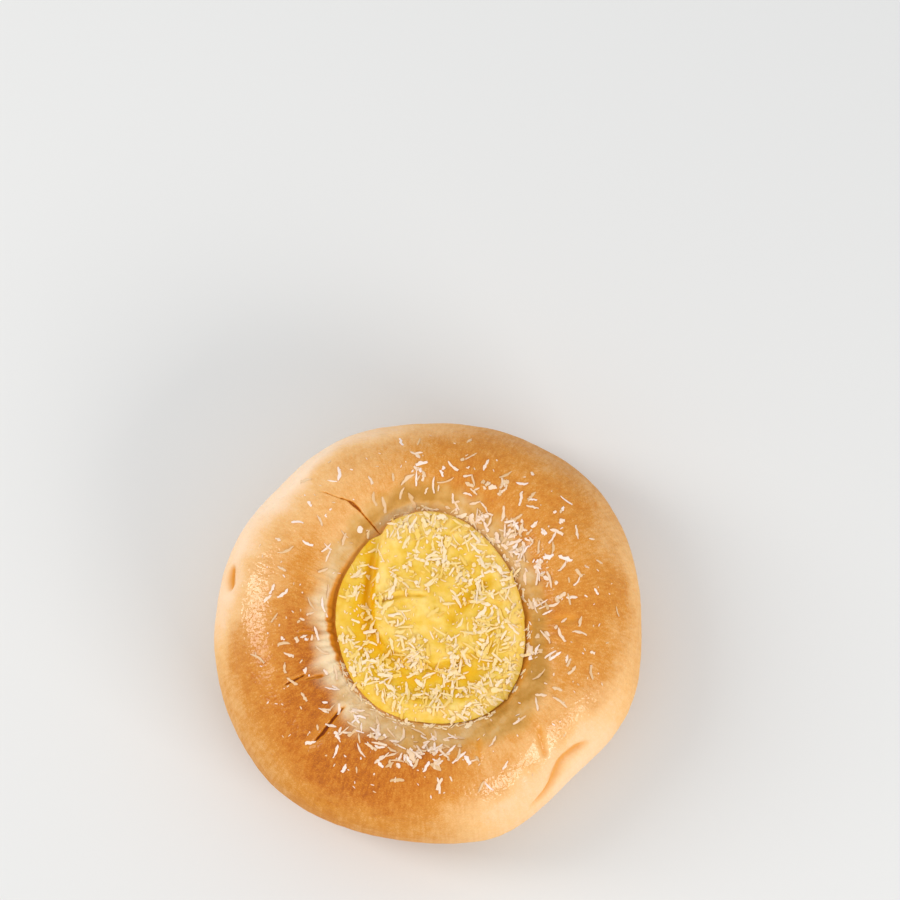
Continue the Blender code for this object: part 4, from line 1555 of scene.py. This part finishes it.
@dataclass(frozen=True)
class ShredForm:
    """The form of a shred of coconut: a stiff, flat splinter with ragged edges and two uneven ends."""

    thickness: Pair = (0.1 * MM, 0.18 * MM)
    blunt_end: Pair = (0.3, 0.9)
    sharp_end: Pair = (0.05, 0.6)
    end_fullness: float = 2.5
    short_length: float = 1.5 * MM
    segments: tuple[int, int] = (4, 6)
    flake_width: float = 0.735 * MM
    ragged_flake: float = 0.3
    ragged_splinter: float = 0.16
    ragged_reach: Pair = (2.2, 1.1)
    settling: float = 0.6
    most_bridged: float = 0.5 * MM
    raised_share: float = 0.35
    heap_thinning: float = 1.5
    lean: Pair = (-0.6, 0.6)
    curl: Pair = (-0.02, 0.05)
    roll: Pair = (-0.45, 0.45)
    facet: float = 0.62
    # How much more golden and darker a shred's lower faces are: partly soaked colour, partly painted shade
    # and painted light bounced from the custard.
    soak_and_bounce: float = 0.14

    def add(
        self,
        form: bmesh.types.BMesh,
        shred: Shred,
        trees: tuple[BVHTree, ...],
        draw: random.Random,
        heap: float,
        tones: Pair,
    ) -> None:
        """Add one stiff, ragged splinter to a mesh, lying on the surface or on others.

        Args:
            form: the mesh to add to.
            shred: where and how large the shred is.
            trees: the surfaces that it lies on.
            draw: source of its small differences.
            heap: how high coconut is heaped there, in metres.
            tones: its lowest and highest tone, a range of the finish's colours.
        """
        segments = self.segments[0] if shred.length < self.short_length else self.segments[1]
        thick = draw.uniform(*self.thickness)
        blunt = draw.uniform(*self.blunt_end), draw.uniform(*self.sharp_end)
        ragged = self.ragged_flake if shred.width > self.flake_width else self.ragged_splinter
        narrowest, widest = 1.0 - self.ragged_reach[0] * ragged, self.ragged_reach[1]
        ways = [2.0 * ring / segments - 1.0 for ring in range(segments + 1)]
        grounds = [surface_below(trees, *shred.at(0.5 * way * shred.length)) for way in ways]
        first, last = grounds[0][0], grounds[-1][0]
        normal = sum((found[1] for found in grounds), Vector()).normalized()
        chords = [first.lerp(last, (way + 1.0) / 2.0) for way in ways]
        level = max((ground[0] - chord).dot(normal) for ground, chord in zip(grounds, chords))
        lift = (1.0 - self.settling) * min(level, self.most_bridged) + self.raised_share * thick
        lift += heap * draw.random() ** self.heap_thinning
        lean = heap * draw.uniform(*self.lean)
        curl = draw.uniform(*self.curl) * shred.length
        roll = draw.uniform(*self.roll)
        forward = (last - first).normalized()
        level_side = normal.cross(forward).normalized()
        side = level_side * math.cos(roll) + normal * math.sin(roll)
        up = forward.cross(side)
        if up.dot(normal) < 0.0:
            up = -up
        tone = form.verts.layers.float[Paint.TONE.value]
        shade = draw.uniform(*tones)
        corner = self.facet
        section = ((1.0, 0.0), (corner, 1.0), (-corner, 1.0), (-1.0, 0.0), (-corner, -1.0), (corner, -1.0))
        rings = []
        for way, chord, (ground, _) in zip(ways, chords, grounds):
            end = blunt[0] if way < 0.0 else blunt[1]
            wide = 0.5 * shred.width * (1.0 - (1.0 - end) * abs(way) ** self.end_fullness)
            edges = {way_out: wide * draw.uniform(narrowest, widest) for way_out in (1.0, -1.0)}
            aside = shred.bend * (0.5 * way * shred.length) ** 2 / shred.length
            settled = chord.lerp(ground, self.settling)
            raised = settled + normal * (lift + lean * way + curl * way * way) + level_side * aside
            corners = []
            for to_side, to_top in section:
                reach = to_side * edges[math.copysign(1.0, to_side)]
                vertex = form.verts.new(raised + side * reach + up * (0.5 * to_top * thick))
                # Lower faces are painted more golden and darker: soaked colour with painted shade and bounce
                # light.
                vertex[tone] = max(shade - self.soak_and_bounce * (1.0 - to_top), tones[0])
                corners.append(vertex)
            rings.append(corners)
        for near, far in zip(rings[:-1], rings[1:]):
            for i in range(len(section)):
                j = (i + 1) % len(section)
                form.faces.new((near[i], far[i], far[j], near[j]))
        form.faces.new(rings[0])
        form.faces.new(rings[-1][::-1])


@dataclass
class Coconut:
    """Shredded coconut: the largest shreds where the solids have them, and many finer ones."""

    seed: int = 41
    fine_bread_seed: int = 7
    fine_custard_seed: int = 9
    bread_count: int = 90
    custard_count: int = 34
    fine_bread_count: int = 330
    fine_custard_count: int = 900
    bread_crumbs: int = 160
    custard_crumbs: int = 380
    tries: int = 20000
    large: Cut = Cut((2.2 * MM, 4.3 * MM), (0.7 * MM, 1.2 * MM))
    fine: Cut = Cut((0.9 * MM, 3.8 * MM), (0.45 * MM, 1.05 * MM))
    crumb: Cut = Cut((0.35 * MM, 0.9 * MM), (0.25 * MM, 0.5 * MM))
    edge_crumb: Cut = Cut((0.6 * MM, 1.9 * MM), (0.35 * MM, 0.85 * MM))
    fine_shortness: float = 1.6
    space: float = 0.5 * MM
    bend: float = 0.3
    fine_bends: tuple[float, ...] = (0.0, 0.0, 0.0, 0.25, -0.25)
    reach: float = 46.0 * MM
    custard_clearance: float = 1.6 * MM
    fold_clearance: float = 2.2 * MM
    large_within: float = 0.925
    fine_within: float = 0.97
    crumbs_within: float = 0.98
    crumbs_beyond: float = 1.05
    stray: float = 0.03
    flake_share: float = 0.32
    flake_extra: Pair = (0.3 * MM, 0.9 * MM)
    beside_share: float = 0.15
    beside_reach: float = 1.4 * MM
    clump_size: float = 4.5 * MM
    clumped_from: float = 0.75
    fine_heap: float = 0.35 * MM
    crumb_heap: float = 0.2 * MM
    edge_heap: float = 0.3 * MM
    custard_tones: Pair = (0.0, 0.48)
    edge_tones: Pair = (0.28, 0.5)
    bread_tones: Pair = (0.58, 1.0)
    yellowed_share: float = 1.06
    edge_runs: tuple[Triple, ...] = ((204.0, 305.0, 85.0), (12.0, 112.0, 60.0), (305.0, 360.0, 16.0))
    edge_crumb_gap: Pair = (0.8 * MM, 0.3 * MM)
    edge_crumb_turn: Pair = (0.0, 0.5)
    sharp_deg: float = 50.0
    shape: ShredForm = ShredForm()
    finish: DriedCoconut = DriedCoconut()
    drifts: tuple[Drift, ...] = (
        Drift(46.0, 27.0, 28.1, 4.7, 0.92),
        Drift(264.0, 26.0, 31.8, 4.5, 0.8),
        Drift(74.0, 38.0, 36.5, 5.5, 0.27),
        Drift(355.0, 22.0, 29.0, 4.5, 0.4),
        Drift(190.0, 90.0, 31.0, 6.0, 0.12),
    )
    bare_spots: tuple[Spot, ...] = (
        Spot(-1.6, 3.0, 4.6, 1.1),
        Spot(-8.5, 15.0, 5.0, 0.8),
        Spot(-14.0, 8.0, 2.5, 0.7, 2.0),
        Spot(-18.0, 2.0, 5.0, 0.3, 3.0),
        Spot(2.0, -1.0, 20.0, 0.3, 0.3),
    )

    def on_custard(self, across: float, along: float) -> float:
        """How thickly coconut lies at a place on the custard, from 0 to 1."""
        return max(0.0, 1.0 - sum(spot.at(across, along) for spot in self.bare_spots))

    def on_bread(self, across: float, along: float) -> float:
        """How thickly coconut lies at a place on the bread, from 0 to 1."""
        radius, degrees = math.hypot(across, along), math.degrees(math.atan2(along, across))
        return min(1.0, self.stray + sum(drift.at(radius, degrees) for drift in self.drifts))

    def clumped(self, thickness_at: Thickness) -> Thickness:
        """Gather coconut into loose clumps with thinner places between them.

        Args:
            thickness_at: how thickly coconut lies at a place on the whole.

        Returns:
            How thickly it lies once gathered.
        """

        def gathered(across: float, along: float) -> float:
            """How thickly gathered coconut lies at a place."""
            clump = noise.noise(Vector((across, along, 0.0)) / self.clump_size)
            return thickness_at(across, along) * float(smooth_step(self.clumped_from + clump))

        return gathered

    def clear_of_custard(self, folds: tuple[Fold, ...]) -> MayLie:
        """Make the test of where a large shred may lie on the bread.

        Args:
            folds: the bread's folds.

        Returns:
            A test that is true on the bread, clear of the custard and of every fold.
        """

        def clear(across: float, along: float) -> bool:
            """Tell whether a place is clear of the custard and the folds.

            Args:
                across: x in plan.
                along: y in plan.

            Returns:
                Whether it is clear.
            """
            if custard_gap(across, along) < self.custard_clearance or math.hypot(across, along) > self.reach:
                return False
            place = np.array([[across, along]])
            gaps = (path_distance(place, np.array(fold.path) * MM)[0][0] for fold in folds)
            return min(gaps) > self.fold_clearance

        return clear

    def large_shreds(self, count: int, thickness_at: Thickness, may_lie_at: MayLie) -> list[Shred]:
        """Draw well separated large shreds, as the solids have them.

        Args:
            count: number of shreds.
            thickness_at: how thickly coconut lies at a place.
            may_lie_at: whether a shred may lie at a place.

        Returns:
            The shreds.
        """
        draw = random.Random(self.seed)
        shreds: list[Shred] = []
        lines: list[list[Pair]] = []
        for _ in range(self.tries):
            across = draw.uniform(-self.reach, self.reach)
            along = draw.uniform(-self.reach, self.reach)
            heading = draw.uniform(0.0, math.pi)
            length, width = self.large.drawn(draw)
            bend = draw.uniform(-self.bend, self.bend)
            chance = draw.random()
            shred = Shred(across, along, heading, length, width, bend)
            if math.hypot(across, along) > self.reach or chance > thickness_at(across, along):
                continue
            line = shred.line()
            if not all(may_lie_at(*place) for place in line):
                continue
            apart = self.large.width[1] + self.space
            if any(math.dist(a, b) < apart for other in lines for a in line for b in other):
                continue
            shreds.append(shred)
            lines.append(line)
            if len(shreds) == count:
                break
        return shreds

    def fine_shreds(self, seed: int, count: int, thickness_at: Thickness, may_lie_at: MayLie) -> list[Shred]:
        """Draw splinters, crumbs and a few thin flakes that may cross each other.

        Args:
            seed: seed of the random draws.
            count: number of shreds.
            thickness_at: how thickly coconut lies at a place.
            may_lie_at: whether a shred may lie at a place.

        Returns:
            The shreds.
        """
        draw = random.Random(seed)
        shreds: list[Shred] = []
        alone: list[Shred] = []
        shortest, longest = self.fine.length
        while len(shreds) < count:
            across = draw.uniform(-self.reach, self.reach)
            along = draw.uniform(-self.reach, self.reach)
            gathered = bool(alone) and draw.random() < self.beside_share
            if gathered:
                beside = draw.choice(alone)
                across = draw.gauss(beside.across, self.beside_reach)
                along = draw.gauss(beside.along, self.beside_reach)
            length = shortest + (longest - shortest) * draw.random() ** self.fine_shortness
            width = draw.uniform(*self.fine.width)
            if draw.random() < self.flake_share:
                width += draw.uniform(*self.flake_extra)
            heading = draw.uniform(0.0, math.pi)
            bend = draw.choice(self.fine_bends) * draw.random()
            if math.hypot(across, along) > self.reach or draw.random() > thickness_at(across, along):
                continue
            if may_lie_at(across, along):
                shreds.append(Shred(across, along, heading, length, width, bend))
                if not gathered:
                    alone.append(shreds[-1])
        return shreds

    def crumbs(self, count: int, may_lie_at: MayLie) -> list[Shred]:
        """Draw stray crumbs all over the top.

        Args:
            count: number of crumbs.
            may_lie_at: whether a crumb may lie at a place.

        Returns:
            The crumbs.
        """
        draw = random.Random(self.seed + 2)
        crumbs: list[Shred] = []
        while len(crumbs) < count:
            radius, toward = self.reach * math.sqrt(draw.random()), draw.uniform(0.0, TURN)
            across, along = radius * math.cos(toward), radius * math.sin(toward)
            heading = draw.uniform(0.0, math.pi)
            crumb = Shred(across, along, heading, *self.crumb.drawn(draw), 0.0)
            if may_lie_at(across, along):
                crumbs.append(crumb)
        return crumbs

    def edge_crumbs(self) -> list[Shred]:
        """Draw crumbs caught in the groove along the custard's edge.

        Returns:
            The crumbs.
        """
        draw = random.Random(self.seed + 3)
        crumbs: list[Shred] = []
        for first_deg, last_deg, count in self.edge_runs:
            for _ in range(round(count)):
                toward = math.radians(draw.uniform(first_deg, last_deg))
                radius = float(CUSTARD_OUTLINE.at(toward)) + draw.gauss(*self.edge_crumb_gap)
                across = CUSTARD_MIDDLE[0] + radius * math.cos(toward)
                along = CUSTARD_MIDDLE[1] + radius * math.sin(toward)
                heading = toward + 0.5 * math.pi + draw.gauss(*self.edge_crumb_turn)
                crumbs.append(Shred(across, along, heading, *self.edge_crumb.drawn(draw), 0.0))
        return crumbs

    def build(
        self, bread: bpy.types.Object, custard: bpy.types.Object, folds: tuple[Fold, ...]
    ) -> bpy.types.Object:
        """Build and dress all the coconut as one piece.

        Args:
            bread: the bread's object.
            custard: the custard's object.
            folds: the bread's folds.

        Returns:
            The coconut's object.
        """
        trees = []
        for item in (bread, custard):
            mesh = item.data.copy()
            mesh.transform(Matrix.Translation((PLAN_MIDDLE[0], PLAN_MIDDLE[1], 0.0)))
            trees.append(search_tree(mesh))
            bpy.data.meshes.remove(mesh)
        bread_clear = self.clear_of_custard(folds)
        custard_clear = within(self.large_within)
        bread_fine, custard_fine = self.clumped(self.on_bread), self.clumped(self.on_custard)
        fine_beyond, fine_within = beyond(1.0), within(self.fine_within)
        crumbs_beyond, crumbs_within = beyond(self.crumbs_beyond), within(self.crumbs_within)
        on_bread = self.fine_shreds(self.fine_bread_seed, self.fine_bread_count, bread_fine, fine_beyond)
        on_custard = self.fine_shreds(
            self.fine_custard_seed, self.fine_custard_count, custard_fine, fine_within
        )
        groups = (
            (self.large_shreds(self.bread_count, self.on_bread, bread_clear), 0.0),
            (self.large_shreds(self.custard_count, self.on_custard, custard_clear), 0.0),
            (on_bread, self.fine_heap),
            (on_custard, self.fine_heap),
            (self.crumbs(self.bread_crumbs, crumbs_beyond), 0.0),
            (self.crumbs(self.custard_crumbs, crumbs_within), self.crumb_heap),
            (self.edge_crumbs(), self.edge_heap),
        )
        form = bmesh.new()
        form.verts.layers.float.new(Paint.TONE.value)
        draw = random.Random(self.seed + 1)
        for shreds, heap in groups:
            for shred in shreds:
                share = custard_share(shred.across, shred.along)
                thickness_at = self.on_custard if share < 1.0 else bread_fine
                thickness = thickness_at(shred.across, shred.along)
                tones = self.bread_tones
                if share < self.yellowed_share:
                    tones = self.custard_tones if share < 1.0 else self.edge_tones
                self.shape.add(form, shred, tuple(trees), draw, heap * thickness, tones)
        bmesh.ops.recalc_face_normals(form, faces=form.faces[:])
        mesh = bpy.data.meshes.new(Piece.COCONUT.value)
        form.to_mesh(mesh)
        form.free()
        mesh.shade_smooth()
        mesh.set_sharp_from_angle(angle=math.radians(self.sharp_deg))
        mesh.materials.append(self.finish.material())
        return add_piece(Piece.COCONUT, mesh, Slot.COCONUT, None)


@dataclass(frozen=True)
class SoftBox:
    """A soft lamp aimed at the bun."""

    name: str
    toward_deg: float
    elevation_deg: float
    wide: float
    high: float
    power: float
    distance: float = 1.0
    aim_height: float = 20.0 * MM
    colour: str = "#fffcf8"

    def build(self) -> None:
        """Add the lamp to the scene."""
        data = bpy.data.lights.new(self.name, "AREA")
        data.shape = "RECTANGLE"
        data.size, data.size_y = self.wide, self.high
        data.energy = self.power
        data.color = linear_colour(self.colour)[:3]
        lamp = bpy.data.objects.new(self.name, data)
        toward, above = math.radians(self.toward_deg), math.radians(self.elevation_deg)
        level = math.cos(above)
        away = Vector((math.cos(toward) * level, math.sin(toward) * level, math.sin(above)))
        lamp.location = Vector((0.0, 0.0, self.aim_height)) + self.distance * away
        lamp.rotation_euler = (-away).to_track_quat("-Z", "Y").to_euler()
        bpy.context.scene.collection.objects.link(lamp)


@dataclass(frozen=True)
class Studio:
    """A pale floor under soft daylight from all round, with a lamp on two sides."""

    floor_size: float = 3.0
    sky: str = "#f5f9ff"
    sky_strength: float = 0.78
    floor: PaintedBoard = PaintedBoard()
    lamps: tuple[SoftBox, ...] = (
        SoftBox("Left lamp", 168.0, 40.0, 0.3, 0.64, 3.9),
        SoftBox("Right lamp", 314.0, 28.0, 0.6, 0.34, 4.6),
    )

    def build(self) -> None:
        """Add the floor, the sky light and the lamps."""
        bpy.ops.mesh.primitive_plane_add(size=self.floor_size, location=(0.0, 0.0, 0.0))
        floor = bpy.context.object
        floor.name = "Floor"
        floor.data.materials.append(self.floor.material())
        world = bpy.data.worlds.new("Soft daylight")
        world.use_nodes = True
        background = world.node_tree.nodes["Background"]
        background.inputs["Color"].default_value = linear_colour(self.sky)
        background.inputs["Strength"].default_value = self.sky_strength
        bpy.context.scene.world = world
        for lamp in self.lamps:
            lamp.build()


@dataclass(frozen=True)
class PhotographCamera:
    """The photograph's view: nearly straight down, from a little in front."""

    image_px: float = 900.0
    focal_px: float = 3760.0
    elevation_deg: float = 77.0
    depth: float = 928.4 * MM
    seen_point: Triple = (0.108 * MM, -0.637 * MM, 18.0 * MM)
    seen_offset_px: Pair = (-21.5, -183.0)
    sensor_mm: float = 36.0

    def build(self) -> None:
        """Add the camera and make it the scene's own."""
        tilt = math.radians(self.elevation_deg)
        forward = Vector((0.0, math.cos(tilt), -math.sin(tilt)))
        up = Vector((0.0, math.sin(tilt), math.cos(tilt)))
        right = Vector((1.0, 0.0, 0.0))
        aside, above = (offset / self.focal_px for offset in self.seen_offset_px)
        data = bpy.data.cameras.new("Camera")
        data.sensor_width = self.sensor_mm
        data.lens = self.sensor_mm * self.focal_px / self.image_px
        camera = bpy.data.objects.new("Camera", data)
        camera.location = Vector(self.seen_point) - self.depth * (forward + aside * right + above * up)
        camera.rotation_euler = forward.to_track_quat("-Z", "Y").to_euler()
        bpy.context.scene.collection.objects.link(camera)
        bpy.context.scene.camera = camera


def main() -> None:
    """Build every piece in order, then the studio and the camera."""
    logging.basicConfig(level=logging.INFO, format="%(name)s: %(message)s")
    bread_form = Bread()
    bread = bread_form.build()
    LOG.info("bread: %d faces", len(bread.data.polygons))
    custard = Custard().build()
    LOG.info("custard: %d faces", len(custard.data.polygons))
    coconut = Coconut().build(bread, custard, bread_form.folds)
    LOG.info("coconut: %d faces", len(coconut.data.polygons))
    Studio().build()
    PhotographCamera().build()
    bpy.context.scene.view_settings.view_transform = "Standard"
    LOG.info("studio and camera are in place")


if __name__ == "__main__":
    main()
